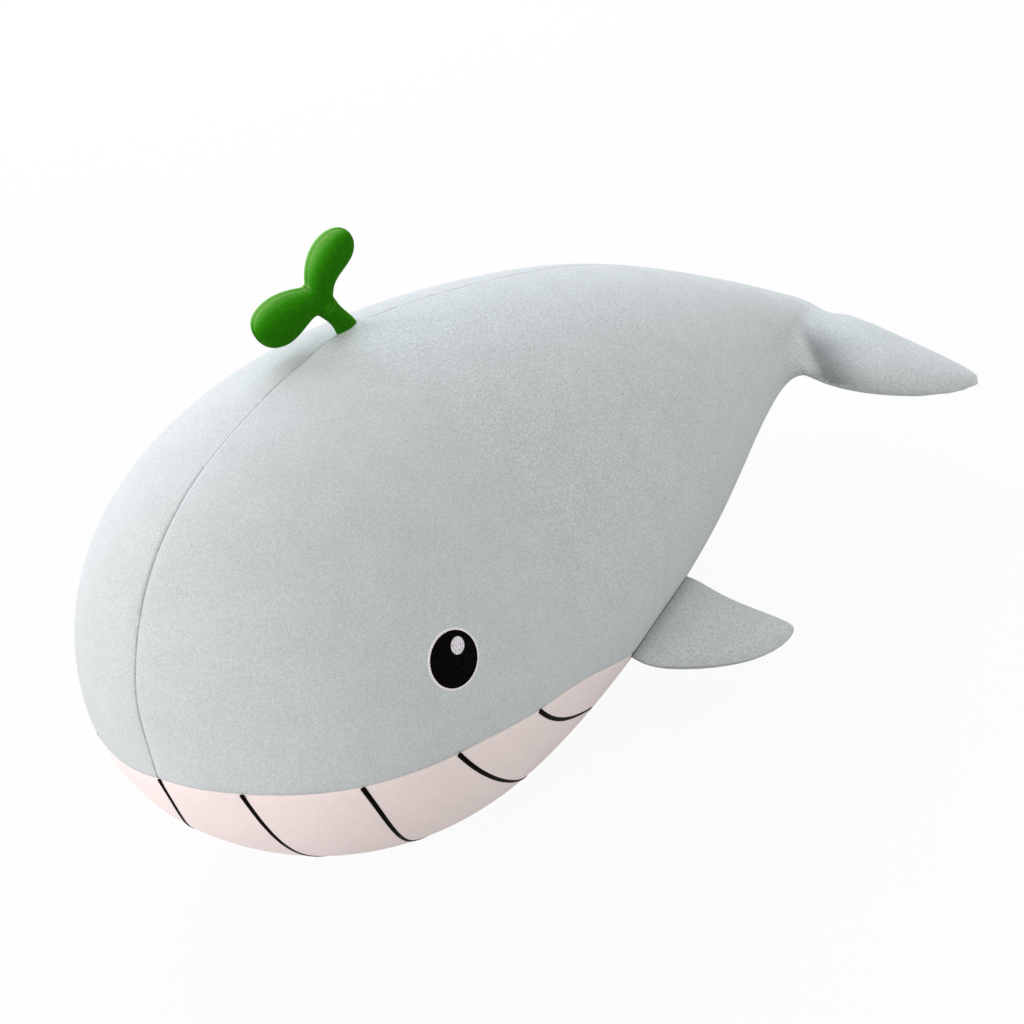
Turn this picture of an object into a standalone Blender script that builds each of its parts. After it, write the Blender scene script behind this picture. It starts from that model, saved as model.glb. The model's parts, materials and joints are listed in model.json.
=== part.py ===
"""Stuffed toy whale lying on its belly, with two flippers, two tail flukes and a sprout on its back."""

import math

import bmesh
import bpy
from mathutils import Matrix, Vector

# Sizes in metres. The nose points to -Y, the tail to +Y, and the whale's left side to +X.
BODY_LENGTH = 0.550
BODY_WIDTH = 0.2365
BODY_HEIGHT = 0.2455
PLUSH = 0.002
VELOUR = 0.001
STITCH = 0.0008
CLEARANCE = 0.0003
FILLING_CLEARANCE = 0.0005
REST_FLAT_DEPTH = 0.0005
CUT_OVERRUN = 0.030

# The flippers, from their sewn root lines outwards.
FLIPPER_LENGTH = 0.0575
FLIPPER_CHORD = 0.077
FLIPPER_THICKNESS = 0.0236
FLIPPER_ROOT_RADIUS = 0.003
FLIPPER_TOE_IN = math.radians(8.3)
FLIPPER_DROOP = math.radians(20.9)

# The flukes, from their soft creases outwards.
FLUKE_LENGTH = 0.090
FLUKE_CHORD = 0.0847
FLUKE_THICKNESS = 0.0275
FLUKE_ROOT_RADIUS = 0.010
FLUKE_STANDOFF = 0.0065
FLUKE_TOE_IN = math.radians(8.0)
FLUKE_DROOP = math.radians(18.8)

# The sprout: a stem on a ball end, a hub with two short arms, and a leaf on each arm.
SPROUT_TURN = math.radians(20)
STEM_LENGTH = 0.0168
STEM_WIDTH = 0.0135
STEM_BALL_RADIUS = 0.0058
STEM_LEAN = math.radians(115)
ARM_LENGTH = 0.011
ARM_WIDTH = 0.0145
ARM_THICKNESS = 0.0095
ARM_SIDE_STEP = 0.0004
ARM_SPREAD = math.radians(45)
LEAF_LENGTH = 0.0240
LEAF_WIDTH = 0.0285
LEAF_THICKNESS = 0.0116
LEAF_ROOT_RADIUS = 0.004
LEAF_STANDOFF = 0.0015
LEAF_PAIR_LEAN = math.radians(121)
LEAF_SPREAD = math.radians(70)

# The embroidery.
EYE_HEIGHT = 0.0270
EYE_WIDTH = 0.0256
EYE_RIM = 0.0011
HIGHLIGHT_HEIGHT = 0.0082
HIGHLIGHT_WIDTH = 0.0071
HIGHLIGHT_RISE = 0.0058
HIGHLIGHT_BACK = 0.0009
THROAT_LINE_WIDTH = 0.0022
THROAT_LINE_TIP = 0.0010
THROAT_LINE_INSET = 0.0012

# The body's sections: along its length, half width, crown, keel and widest line's height.
# Smoothing draws the surface in from these, so the widest shares pass a half and the tallest pass one.
BODY_SECTION_SHARES = (
    (0.000, 0.116, 0.672, 0.367, 0.529),
    (0.050, 0.414, 0.914, 0.172, 0.419),
    (0.170, 0.570, 1.053, 0.036, 0.432),
    (0.320, 0.544, 1.075, -0.040, 0.457),
    (0.470, 0.484, 0.999, -0.054, 0.470),
    (0.640, 0.405, 0.878, 0.009, 0.455),
    (0.800, 0.262, 0.683, 0.150, 0.408),
    (0.920, 0.208, 0.521, 0.242, 0.345),
    (0.985, 0.230, 0.425, 0.255, 0.325),
    (1.003, 0.210, 0.400, 0.290, 0.330),
)

# The seam between the back and the belly, seen from the side: along the body and up it.
BELLY_SEAM_SHARES = (
    (-0.050, 0.466),
    (0.000, 0.466),
    (0.090, 0.453),
    (0.164, 0.444),
    (0.217, 0.419),
    (0.267, 0.397),
    (0.316, 0.354),
    (0.369, 0.289),
    (0.424, 0.217),
    (0.480, 0.157),
    (0.560, 0.099),
    (0.640, 0.048),
    (0.700, -0.020),
)

# The throat lines' starts on the seam and their ends under the belly: along, across and up the body.
THROAT_LINE_SHARES = (
    ((0.000, 0.000, 0.466), (0.100, 0.000, 0.101)),
    ((0.016, 0.181, 0.464), (0.115, 0.190, 0.110)),
    ((0.066, 0.365, 0.453), (0.148, 0.338, 0.122)),
    ((0.133, 0.462, 0.446), (0.245, 0.405, 0.165)),
    ((0.219, 0.494, 0.418), (0.330, 0.412, 0.205)),
)
# On the right, the first line beside the middle lies farther out.
FIRST_RIGHT_LINE_SHARES = ((0.040, 0.281, 0.458), (0.134, 0.275, 0.117))

EYE_SHARE = (0.155, 0.449, 0.614)
EYE_UP_SHARE = (-0.123, 0.530, 0.839)
FLIPPER_ROOT_SHARE = (0.482, 0.362, 0.221)
FLUKE_ROOT_SHARE = (0.933, 0.200, 0.352)
SPROUT_ROOT_SHARE = (0.306, 0.0, 1.0)

# A limb's sections from its hinge line outwards: along its length, rearward shift and half width
# as shares of its chord, and half thickness as a share of its thickness.
FLIPPER_SECTION_SHARES = (
    (-0.050, 0.010, 0.460, 0.080),
    (0.028, 0.000, 0.540, 0.200),
    (0.130, -0.005, 0.520, 0.430),
    (0.330, 0.029, 0.443, 0.500),
    (0.590, 0.114, 0.371, 0.420),
    (0.850, 0.243, 0.271, 0.300),
    (1.000, 0.407, 0.075, 0.140),
)
FLUKE_SOCKET_SHARE = 0.56
FLUKE_SECTION_SHARES = (
    (-0.100, 0.010, 0.430, 0.240),
    (0.000, 0.000, 0.530, 0.360),
    (0.155, -0.030, 0.520, 0.500),
    (0.400, 0.002, 0.455, 0.440),
    (0.722, 0.086, 0.325, 0.320),
    (1.000, 0.222, 0.097, 0.140),
)
LEAF_SECTION_SHARES = (
    (-0.130, 0.000, 0.220, 0.200),
    (0.000, 0.000, 0.290, 0.370),
    (0.400, 0.000, 0.500, 0.520),
    (0.800, 0.000, 0.480, 0.460),
    (1.000, 0.000, 0.260, 0.270),
)
STEM_SECTION_SHARES = (
    (-0.320, 0.000, 0.320, 0.300),
    (0.050, 0.000, 0.530, 0.480),
    (0.550, 0.000, 0.470, 0.430),
    (1.150, 0.000, 0.520, 0.400),
)
ARM_SECTION_SHARES = (
    (-0.450, 0.000, 0.400, 0.400),
    (0.350, 0.000, 0.500, 0.500),
    (1.400, 0.000, 0.500, 0.480),
)

BODY_LEVELS = 2
SOFT_LEVELS = 1
COVER_SEGMENTS = 8
FILLING_SEGMENTS = 6
SPROUT_SEGMENTS = 6
FLUKE_SOCKET_SEGMENTS = 16
LEAF_SOCKET_SEGMENTS = 10
OVAL_SEGMENTS = 16


def remove_everything():
    """Empties the scene that the script starts in."""
    for thing in list(bpy.data.objects):
        bpy.data.objects.remove(thing, do_unlink=True)


def new_collection(name):
    group = bpy.data.collections.new(name)
    bpy.context.scene.collection.children.link(group)
    return group


def linear(value):
    """One sRGB channel of 0 to 255 as the linear value that a shader takes."""
    share = value / 255
    return share / 12.92 if share <= 0.04045 else ((share + 0.055) / 1.055) ** 2.4


def material(name, colour, roughness):
    made = bpy.data.materials.new(name)
    made.use_nodes = True
    shader = made.node_tree.nodes["Principled BSDF"]
    shader.inputs["Base Color"].default_value = (*map(linear, colour), 1)
    shader.inputs["Roughness"].default_value = roughness
    shader.inputs["Metallic"].default_value = 0
    return made


def add_object(name, mesh, group, parent):
    made = bpy.data.objects.new(name, mesh)
    group.objects.link(made)
    made.parent = parent
    return made


def add_empty(name, parent, matrix):
    """An empty that carries what moves about one hinge: its X axis is the hinge's axis."""
    made = bpy.data.objects.new(name, None)
    parts.objects.link(made)
    made.parent = parent
    made.matrix_local = matrix
    return made


def as_cutter(made):
    """Marks a shape that only cuts or guides the parts."""
    made.hide_render = True
    made.display_type = "WIRE"
    return made


def as_part(made, look):
    made.data.materials.append(look)
    made.data.shade_smooth()
    return made


def combine(target, operation, *others):
    for other in others:
        boolean = target.modifiers.new(f"{operation.lower()} {other.name}", "BOOLEAN")
        boolean.operation = operation
        boolean.solver = "EXACT"
        boolean.object = other


def cut(target, *cutters):
    combine(target, "DIFFERENCE", *cutters)


def mesh_from(bm, name):
    mesh = bpy.data.meshes.new(name)
    bm.to_mesh(mesh)
    bm.free()
    return mesh


def box_cutter(name, parent, low, high):
    """A box between two corners, in its parent's frame."""
    bm = bmesh.new()
    bmesh.ops.create_cube(bm, size=1)
    low, high = Vector(low), Vector(high)
    size = high - low
    for vertex in bm.verts:
        vertex.co = low + Vector(size[i] * (vertex.co[i] + 1 / 2) for i in range(3))
    return as_cutter(add_object(name, mesh_from(bm, name), cutters, parent))


def oval_mesh(name, width, height, depth):
    """A prism with an oval outline in XY, centred on its origin."""
    bm = bmesh.new()
    bmesh.ops.create_cone(
        bm, cap_ends=True, segments=OVAL_SEGMENTS, radius1=1 / 2, radius2=1 / 2, depth=1
    )
    bmesh.ops.scale(bm, vec=(width, height, depth), verts=bm.verts)
    return mesh_from(bm, name)


def turned_cutter(name, parent, half_length, radius, segments):
    """A rounded spindle about its parent's X axis, whose flats lie no nearer than its radius."""
    bm = bmesh.new()
    bmesh.ops.create_uvsphere(bm, u_segments=segments, v_segments=segments // 2, radius=1)
    bmesh.ops.rotate(bm, verts=bm.verts, matrix=Matrix.Rotation(math.pi / 2, 3, "Y"))
    corner = radius / math.cos(math.pi / segments)
    bmesh.ops.scale(bm, vec=(half_length, corner, corner), verts=bm.verts)
    return as_cutter(add_object(name, mesh_from(bm, name), cutters, parent))


def prism_mesh(name, points, half_depth, curved=0):
    """A flat outline in XY, extruded both ways along Z; its first points are joined by a smooth curve."""
    curve = bpy.data.curves.new(name, "CURVE")
    curve.dimensions = "2D"
    curve.fill_mode = "BOTH"
    curve.extrude = half_depth
    curve.resolution_u = 2
    spline = curve.splines.new("BEZIER")
    spline.bezier_points.add(len(points) - 1)
    spline.use_cyclic_u = True
    for index, (knot, place) in enumerate(zip(spline.bezier_points, points)):
        knot.co = (*place, 0)
        handle = "AUTO" if 0 < index < curved - 1 else "VECTOR"
        knot.handle_left_type = handle
        knot.handle_right_type = handle
    outline = bpy.data.objects.new(name, curve)
    cutters.objects.link(outline)
    shape = bpy.context.evaluated_depsgraph_get()
    mesh = bpy.data.meshes.new_from_object(outline.evaluated_get(shape))
    bpy.data.objects.remove(outline, do_unlink=True)
    bm = bmesh.new()
    bm.from_mesh(mesh)
    bmesh.ops.remove_doubles(bm, verts=bm.verts, dist=CLEARANCE / 100)
    bmesh.ops.recalc_face_normals(bm, faces=bm.faces)
    bm.to_mesh(mesh)
    bm.free()
    return mesh


def round_form(name, parent, group, sections, segments, levels, offset):
    """A soft closed form along Y through sections of (along, shift, half width, middle, top, bottom).

    The offset moves its smoothed surface outwards, or inwards where it is negative.
    """
    bm = bmesh.new()
    rows = len(sections) + 1
    bmesh.ops.create_uvsphere(bm, u_segments=segments, v_segments=rows, radius=1)
    for vertex in bm.verts:
        row = round(math.acos(max(-1, min(1, vertex.co.z))) * rows / math.pi)
        along, shift, half_width, middle, top, bottom = sections[min(max(row, 1), rows - 1) - 1]
        if row in (0, rows):
            vertex.co = (shift, along, middle)
            continue
        angle = math.atan2(vertex.co.y, vertex.co.x)
        reach = top - middle if angle > 0 else middle - bottom
        vertex.co = (shift + half_width * math.cos(angle), along, middle + reach * math.sin(angle))
    made = add_object(name, mesh_from(bm, name), group, parent)
    smoothing = made.modifiers.new("smoothing", "SUBSURF")
    smoothing.levels = levels
    smoothing.render_levels = levels
    triangles = made.modifiers.new("triangles", "TRIANGULATE")
    triangles.quad_method = "FIXED"
    if offset:
        growth = made.modifiers.new("growth", "DISPLACE")
        growth.mid_level = 0
        growth.strength = offset
    return made


def on_body(along_share, across_share, height_share):
    return Vector((across_share * BODY_WIDTH, along_share * BODY_LENGTH, height_share * BODY_HEIGHT))


def body_form(name, group, levels, offset):
    sections = []
    for along, half_width, crown, keel, middle in BODY_SECTION_SHARES:
        heights = [share * BODY_HEIGHT for share in (middle, crown, keel)]
        sections.append((along * BODY_LENGTH, 0, half_width * BODY_WIDTH, *heights))
    return round_form(name, whale, group, sections, COVER_SEGMENTS, levels, offset)


def limb_sections(shares, length, chord, thickness, shift_sign):
    sections = []
    for along, shift, half_width, half_thickness in shares:
        reach = half_thickness * thickness
        sections.append((along * length, shift_sign * shift * chord, half_width * chord, 0, reach, -reach))
    return sections


def evaluated_points(thing):
    """The corners of an object's final shape, in the whale's own frame."""
    shape = thing.evaluated_get(bpy.context.evaluated_depsgraph_get())
    to_whale = whale.matrix_world.inverted() @ thing.matrix_world
    return [to_whale @ vertex.co for vertex in shape.to_mesh().vertices]


def surface_at(guess):
    """The body's surface point nearest to a guess, and the way out from it."""
    shape = body_skin.evaluated_get(bpy.context.evaluated_depsgraph_get())
    found, place, normal, face = shape.closest_point_on_mesh(guess)
    return place, normal


def frame(x_axis, y_axis, z_axis, place):
    """A matrix whose columns are three square axes and a place."""
    matrix = Matrix((x_axis, y_axis, z_axis)).transposed().to_4x4()
    matrix.translation = place
    return matrix


def square_frame(normal, along, place):
    """Z along a normal, X as near to a given direction as is square to it."""
    z_axis = normal.normalized()
    x_axis = (along - z_axis * along.dot(z_axis)).normalized()
    return frame(x_axis, z_axis.cross(x_axis), z_axis, place)


def belly_prism(name, drop):
    """All that lies under the belly seam, lowered by a small drop, from side to side."""
    seam = [(along * BODY_LENGTH, height * BODY_HEIGHT - drop) for along, height in BELLY_SEAM_SHARES]
    floor = -BODY_HEIGHT
    outline = [*seam, (seam[-1][0], floor), (seam[0][0], floor)]
    mesh = prism_mesh(name, outline, BODY_WIDTH, curved=len(seam))
    made = as_cutter(add_object(name, mesh, cutters, whale))
    made.matrix_local = frame(Vector((0, 1, 0)), Vector((0, 0, 1)), Vector((1, 0, 0)), Vector())
    return made


def add_body(plush_look, belly_look, filling_look, floor_cutter, sockets):
    """Two back halves and a belly, sewn round one bag of filling."""
    inner = as_cutter(body_form("body_inside", cutters, SOFT_LEVELS, -PLUSH))
    above = belly_prism("below_back", -CLEARANCE / 2)
    under = belly_prism("belly_side", CLEARANCE / 2)
    far = BODY_LENGTH + CUT_OVERRUN
    for side, sign in (("left", 1), ("right", -1)):
        reach = (-sign * BODY_WIDTH, sign * CLEARANCE / 2)
        low = (min(reach), -CUT_OVERRUN, -BODY_HEIGHT)
        high = (max(reach), far, 2 * BODY_HEIGHT)
        other_half = box_cutter(f"not_{side}", whale, low, high)
        back = as_part(body_form(f"back_panel_{side}", parts, BODY_LEVELS, 0), plush_look)
        cut(back, inner, above, other_half, sockets[side])
    belly = as_part(body_form("belly_panel", parts, BODY_LEVELS, 0), belly_look)
    cut(belly, inner)
    combine(belly, "INTERSECT", under)
    cut(belly, floor_cutter)
    filling = body_form("body_stuffing", parts, SOFT_LEVELS, -PLUSH - FILLING_CLEARANCE)
    as_part(filling, filling_look)
    cut(filling, *sockets.values())


def add_padded(name, halves, parent, sections, segments, wall, cover_look, filling_look):
    """A sewn limb: two cover halves that meet in its middle plane, and the filling between them."""
    bag = sections[1:-1]
    inner = round_form(f"{name}_inside", parent, cutters, bag, FILLING_SEGMENTS, SOFT_LEVELS, -wall)
    as_cutter(inner)
    reach = BODY_LENGTH
    for half, sign in halves:
        edge = (sign * CLEARANCE / 2, -sign * BODY_HEIGHT)
        low, high = (-reach, -reach, min(edge)), (reach, reach, max(edge))
        other_half = box_cutter(f"{name}_not_{half}", parent, low, high)
        cover = round_form(f"{name}_{half}", parent, parts, sections, segments, SOFT_LEVELS, 0)
        cut(as_part(cover, cover_look), inner, other_half)
    depth = -wall - FILLING_CLEARANCE
    filling = round_form(f"{name}_stuffing", parent, parts, bag, FILLING_SEGMENTS, SOFT_LEVELS, depth)
    as_part(filling, filling_look)


def limb_hinge(name, place, side, toe_in, droop):
    """A hinge along the body's side: X along the hinge line, Y out along the limb and Z up."""
    rear = Vector((-side * math.sin(toe_in), math.cos(toe_in), 0))
    level = Vector((side * math.cos(toe_in), math.sin(toe_in), 0))
    outward = level * math.cos(droop) - Vector((0, 0, 1)) * math.sin(droop)
    x_axis = rear * -side
    return add_empty(name, whale, frame(x_axis, outward, x_axis.cross(outward), place))


def mirrored(share, side):
    along, across, height = share
    return on_body(along, side * across, height)


def add_flipper(side, sign, cover_look, filling_look):
    place, normal = surface_at(mirrored(FLIPPER_ROOT_SHARE, sign))
    place = place + normal * (FLIPPER_ROOT_RADIUS + CLEARANCE)
    hinge = limb_hinge(f"flipper_{side}_hinge", place, sign, FLIPPER_TOE_IN, FLIPPER_DROOP)
    sections = limb_sections(
        FLIPPER_SECTION_SHARES, FLIPPER_LENGTH, FLIPPER_CHORD, FLIPPER_THICKNESS, -sign
    )
    halves = (("upper", 1), ("lower", -1))
    add_padded(f"flipper_{side}", halves, hinge, sections, COVER_SEGMENTS, PLUSH, cover_look, filling_look)


def add_fluke_hinge(side, sign):
    place, normal = surface_at(mirrored(FLUKE_ROOT_SHARE, sign))
    place = place + Vector((sign * FLUKE_STANDOFF, 0, 0))
    return limb_hinge(f"fluke_{side}_hinge", place, sign, FLUKE_TOE_IN, FLUKE_DROOP)


def fluke_socket(side, hinge):
    """The hollow in the tail's side that the fluke's rounded root turns in."""
    half_length = FLUKE_CHORD * FLUKE_SOCKET_SHARE
    radius = FLUKE_ROOT_RADIUS + CLEARANCE
    return turned_cutter(f"fluke_{side}_socket", hinge, half_length, radius, FLUKE_SOCKET_SEGMENTS)


def add_fluke(side, sign, hinge, cover_look, filling_look):
    sections = limb_sections(FLUKE_SECTION_SHARES, FLUKE_LENGTH, FLUKE_CHORD, FLUKE_THICKNESS, -sign)
    halves = (("upper", 1), ("lower", -1))
    add_padded(f"fluke_{side}", halves, hinge, sections, COVER_SEGMENTS, PLUSH, cover_look, filling_look)


def in_plane(place, angle):
    """A matrix in the sprout's own plane, its Y axis at an angle to that plane's level direction."""
    matrix = Matrix.Rotation(angle - math.pi / 2, 4, "Z")
    matrix.translation = place
    return matrix


def sprout_form(name, group, hub, offset):
    """The stem and the two arms of its hub, which lie a little past each other, as one round form."""
    stem = limb_sections(STEM_SECTION_SHARES, STEM_LENGTH, STEM_WIDTH, STEM_WIDTH, 1)
    made = round_form(name, sprout, group, stem, SPROUT_SEGMENTS, SOFT_LEVELS, offset)
    made.matrix_local = in_plane(Vector(), STEM_LEAN)
    arm = limb_sections(ARM_SECTION_SHARES, ARM_LENGTH, ARM_WIDTH, ARM_THICKNESS, 1)
    for sign in (-1, 1):
        branch = round_form(f"{name}_arm", sprout, cutters, arm, SPROUT_SEGMENTS, SOFT_LEVELS, offset)
        root = hub + Vector((0, 0, sign * ARM_SIDE_STEP))
        branch.matrix_local = in_plane(root, LEAF_PAIR_LEAN + sign * ARM_SPREAD)
        combine(made, "UNION", as_cutter(branch))
    return made


def leaf_cutters(name, hinge):
    """The socket of a leaf's root, and the block that ends the arm just short of it."""
    radius = LEAF_ROOT_RADIUS + CLEARANCE
    socket = turned_cutter(f"{name}_socket", hinge, ARM_WIDTH / 2, radius, LEAF_SOCKET_SEGMENTS)
    low = (-ARM_WIDTH, -LEAF_STANDOFF, -ARM_WIDTH)
    high = (ARM_WIDTH, ARM_LENGTH, ARM_WIDTH)
    return socket, box_cutter(f"{name}_end", hinge, low, high)


def add_sprout(cover_look, filling_look):
    """The stem with its hub, and the two leaves hinged at their necks."""
    hub = Vector((math.cos(STEM_LEAN), math.sin(STEM_LEAN), 0)) * STEM_LENGTH
    ends = []
    for name, sign in (("leaf_rear", -1), ("leaf_front", 1)):
        arm_angle = LEAF_PAIR_LEAN + sign * ARM_SPREAD
        neck = hub + Vector((math.cos(arm_angle), math.sin(arm_angle), 0)) * ARM_LENGTH
        hinge = add_empty(f"{name}_hinge", sprout, in_plane(neck, LEAF_PAIR_LEAN + sign * LEAF_SPREAD))
        ends.extend(leaf_cutters(name, hinge))
        sections = limb_sections(LEAF_SECTION_SHARES, LEAF_LENGTH, LEAF_WIDTH, LEAF_THICKNESS, 1)
        halves = (("left", 1), ("right", -1))
        add_padded(name, halves, hinge, sections, SPROUT_SEGMENTS, VELOUR, cover_look, filling_look)
    inner = as_cutter(sprout_form("stem_inside", cutters, hub, -VELOUR))
    for half, sign in (("left", 1), ("right", -1)):
        edge = (sign * CLEARANCE / 2, -sign * BODY_HEIGHT)
        reach = BODY_LENGTH
        low, high = (-reach, -reach, min(edge)), (reach, reach, max(edge))
        other_half = box_cutter(f"stem_not_{half}", sprout, low, high)
        cover = sprout_form(f"stem_{half}", parts, hub, 0)
        cut(as_part(cover, cover_look), inner, *ends, other_half)
    depth = -VELOUR - FILLING_CLEARANCE
    filling = sprout_form("stem_stuffing", parts, hub, depth)
    cut(as_part(filling, filling_look), *ends)


def add_stitching(name, mesh, matrix, look, *holes):
    """A thin patch of thread that lies on the cover, where a prism meets the stitched layer."""
    made = add_object(name, mesh, parts, whale)
    made.matrix_local = matrix
    combine(made, "INTERSECT", stitch_top)
    cut(made, stitch_bottom, *holes)
    as_part(made, look)
    return made


def oval_cutter(name, width, height, matrix):
    made = as_cutter(add_object(name, oval_mesh(name, width, height, 2 * CUT_OVERRUN), cutters, whale))
    made.matrix_local = matrix
    return made


def add_eye(side, sign, black, white):
    """A black oval with a white highlight, in a white rim."""
    place, normal = surface_at(mirrored(EYE_SHARE, sign))
    across, along, upward = EYE_UP_SHARE
    up = Vector((sign * across, along, upward))
    turned = square_frame(normal, up, place)
    rise, back = turned.to_3x3().col[0], turned.to_3x3().col[1] * sign
    matrix = turned @ Matrix.Rotation(-math.pi / 2, 4, "Z")
    spot_place = place + rise * HIGHLIGHT_RISE + back * HIGHLIGHT_BACK
    spot_matrix = matrix.copy()
    spot_matrix.translation = spot_place
    depth = CUT_OVERRUN
    gap = 2 * CLEARANCE
    rim_width, rim_height = EYE_WIDTH - 2 * EYE_RIM, EYE_HEIGHT - 2 * EYE_RIM
    hole = oval_cutter(f"eye_{side}_hole", rim_width, rim_height, matrix)
    spot_hole = oval_cutter(
        f"eye_{side}_spot_hole", HIGHLIGHT_WIDTH + gap, HIGHLIGHT_HEIGHT + gap, spot_matrix
    )
    rim = oval_mesh(f"eye_rim_{side}", EYE_WIDTH, EYE_HEIGHT, depth)
    fill = oval_mesh(f"eye_black_{side}", rim_width - gap, rim_height - gap, depth)
    spot = oval_mesh(f"eye_highlight_{side}", HIGHLIGHT_WIDTH, HIGHLIGHT_HEIGHT, depth)
    add_stitching(f"eye_rim_{side}", rim, matrix, white, hole)
    add_stitching(f"eye_black_{side}", fill, matrix, black, spot_hole)
    add_stitching(f"eye_highlight_{side}", spot, spot_matrix, white)


def add_throat_line(name, start_share, end_share, sign, black):
    """A satin-stitched line from the belly seam to under the throat, tapering to its end."""
    start, start_normal = surface_at(mirrored(start_share, sign))
    end, end_normal = surface_at(mirrored(end_share, sign))
    length = (end - start).length
    matrix = square_frame(start_normal + end_normal, end - start, start)
    half, tip = THROAT_LINE_WIDTH / 2, THROAT_LINE_TIP / 2
    outline = [(THROAT_LINE_INSET, -half), (length, -tip), (length, tip), (THROAT_LINE_INSET, half)]
    add_stitching(name, prism_mesh(name, outline, CUT_OVERRUN), matrix, black)


def add_throat_lines(black):
    centre, *others = THROAT_LINE_SHARES
    add_throat_line("throat_line_centre", *centre, 1, black)
    for number, (start, end) in enumerate(others, 1):
        add_throat_line(f"throat_line_left_{number}", start, end, 1, black)
        if number == 1:
            start, end = FIRST_RIGHT_LINE_SHARES
        add_throat_line(f"throat_line_right_{number}", start, end, -1, black)


remove_everything()
parts = new_collection("plush_whale")
cutters = new_collection("cutters")
plush = material("blue_grey_plush", (196, 206, 207), 0.95)
pale_plush = material("pinkish_white_plush", (222, 211, 208), 0.95)
green_velour = material("green_velour", (60, 140, 20), 0.9)
black_thread = material("black_thread", (20, 19, 18), 0.6)
white_thread = material("white_thread", (235, 230, 232), 0.6)
fibre = material("polyester_fibre", (240, 240, 236), 1.0)

whale = bpy.data.objects.new("whale_frame", None)
parts.objects.link(whale)
body_skin = as_cutter(body_form("body_skin", cutters, BODY_LEVELS, 0))
stitch_bottom = as_cutter(body_form("stitch_bottom", cutters, BODY_LEVELS, CLEARANCE))
stitch_top = as_cutter(body_form("stitch_top", cutters, BODY_LEVELS, CLEARANCE + STITCH))

# The belly is cut flat where it rests, and the floor is at zero height.
rest_height = min(point.z for point in evaluated_points(body_skin)) + REST_FLAT_DEPTH
floor_cut = box_cutter(
    "floor", whale, (-BODY_WIDTH, 0, -BODY_HEIGHT), (BODY_WIDTH, BODY_LENGTH, rest_height)
)

fluke_hinges = {"left": add_fluke_hinge("left", 1), "right": add_fluke_hinge("right", -1)}
fluke_sockets = {side: fluke_socket(side, hinge) for side, hinge in fluke_hinges.items()}
add_body(plush, pale_plush, fibre, floor_cut, fluke_sockets)
for side_name, side_sign in (("left", 1), ("right", -1)):
    add_flipper(side_name, side_sign, plush, fibre)
    add_fluke(side_name, side_sign, fluke_hinges[side_name], plush, fibre)
    add_eye(side_name, side_sign, black_thread, white_thread)
add_throat_lines(black_thread)

# The sprout stands on the crown: its level direction runs back and a little to the left.
crown, crown_normal = surface_at(on_body(*SPROUT_ROOT_SHARE))
level = Vector((math.sin(SPROUT_TURN), math.cos(SPROUT_TURN), 0))
up = Vector((0, 0, 1))
ball = crown + crown_normal * (STEM_BALL_RADIUS + CLEARANCE)
sprout = add_empty("sprout_hinge", whale, frame(level, up, level.cross(up), ball))
add_sprout(green_velour, fibre)

# The whale's frame moves so that the floor is at zero and the box is centred from nose to tail.
solids = [thing for thing in parts.objects if thing.type == "MESH"]
reaches = [point.y for thing in solids for point in evaluated_points(thing)]
whale.location = (0, -(min(reaches) + max(reaches)) / 2, -rest_height)
bpy.context.view_layer.update()
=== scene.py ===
"""Dresses the plush whale: sewn plush covers, satin-stitched eyes and throat lines, and a velour sprout.

Every size is in metres. The nose points to -Y, the tail to +Y and the whale's left side to +X.
"""

from __future__ import annotations

import json
import logging
import math
from dataclasses import dataclass, field
from enum import Enum
from typing import Callable, Iterable, Sequence

import bmesh
import bpy
import numpy as np
from mathutils import Matrix, Vector
from mathutils.bvhtree import BVHTree

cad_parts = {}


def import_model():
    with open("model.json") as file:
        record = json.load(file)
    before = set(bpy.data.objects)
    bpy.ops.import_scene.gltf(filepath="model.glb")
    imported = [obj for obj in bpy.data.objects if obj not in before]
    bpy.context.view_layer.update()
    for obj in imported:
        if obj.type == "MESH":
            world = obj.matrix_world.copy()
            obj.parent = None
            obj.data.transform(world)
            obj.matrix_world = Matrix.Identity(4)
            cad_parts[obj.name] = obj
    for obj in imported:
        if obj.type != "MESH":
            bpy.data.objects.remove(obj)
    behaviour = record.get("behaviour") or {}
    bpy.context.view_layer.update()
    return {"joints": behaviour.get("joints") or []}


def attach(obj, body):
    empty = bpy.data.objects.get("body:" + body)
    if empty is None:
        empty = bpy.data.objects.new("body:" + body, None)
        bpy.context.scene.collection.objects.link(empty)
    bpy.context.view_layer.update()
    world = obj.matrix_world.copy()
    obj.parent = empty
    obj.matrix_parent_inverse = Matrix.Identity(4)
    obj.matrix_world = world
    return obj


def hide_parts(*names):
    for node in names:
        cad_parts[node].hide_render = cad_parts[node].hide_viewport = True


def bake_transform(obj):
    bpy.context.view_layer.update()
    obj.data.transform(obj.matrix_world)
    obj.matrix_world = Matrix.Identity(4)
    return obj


log = logging.getLogger("plush_whale")

LIFT = Vector((0.0, -0.27604, -0.00169))
BODY_LENGTH = 0.550
BODY_WIDTH = 0.2365
BODY_HEIGHT = 0.2455
UP = Vector((0, 0, 1))
LIMB_PARTS = ("upper", "lower", "stuffing")
SPROUT_PARTS = ("left", "right", "stuffing")
# What the meshes keep for their materials: how far a point is from a seam, where the materials paint shade and
# highlight, and how deep in a hollow, where they paint shade.
SEAM_ATTRIBUTE = "seam"
HOLLOW_SHADE_ATTRIBUTE = "hollow"
THREAD_MAP = "thread"
# A seam distance that no longer shows.
FAR_FROM_SEAM = 0.02
SIMULATION_FRAMES = 20
# How much further a point moves back than forth, so that smoothing doesn't shrink a form.
KEEP_SHARE = 1.04
# How much wider a cage is than the form that its subdivision leaves.
SMOOTHING_GAIN = 1.05
# A bell times the way along it is highest at 1 / this.
PUCKER_GAIN = 2.33


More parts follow.
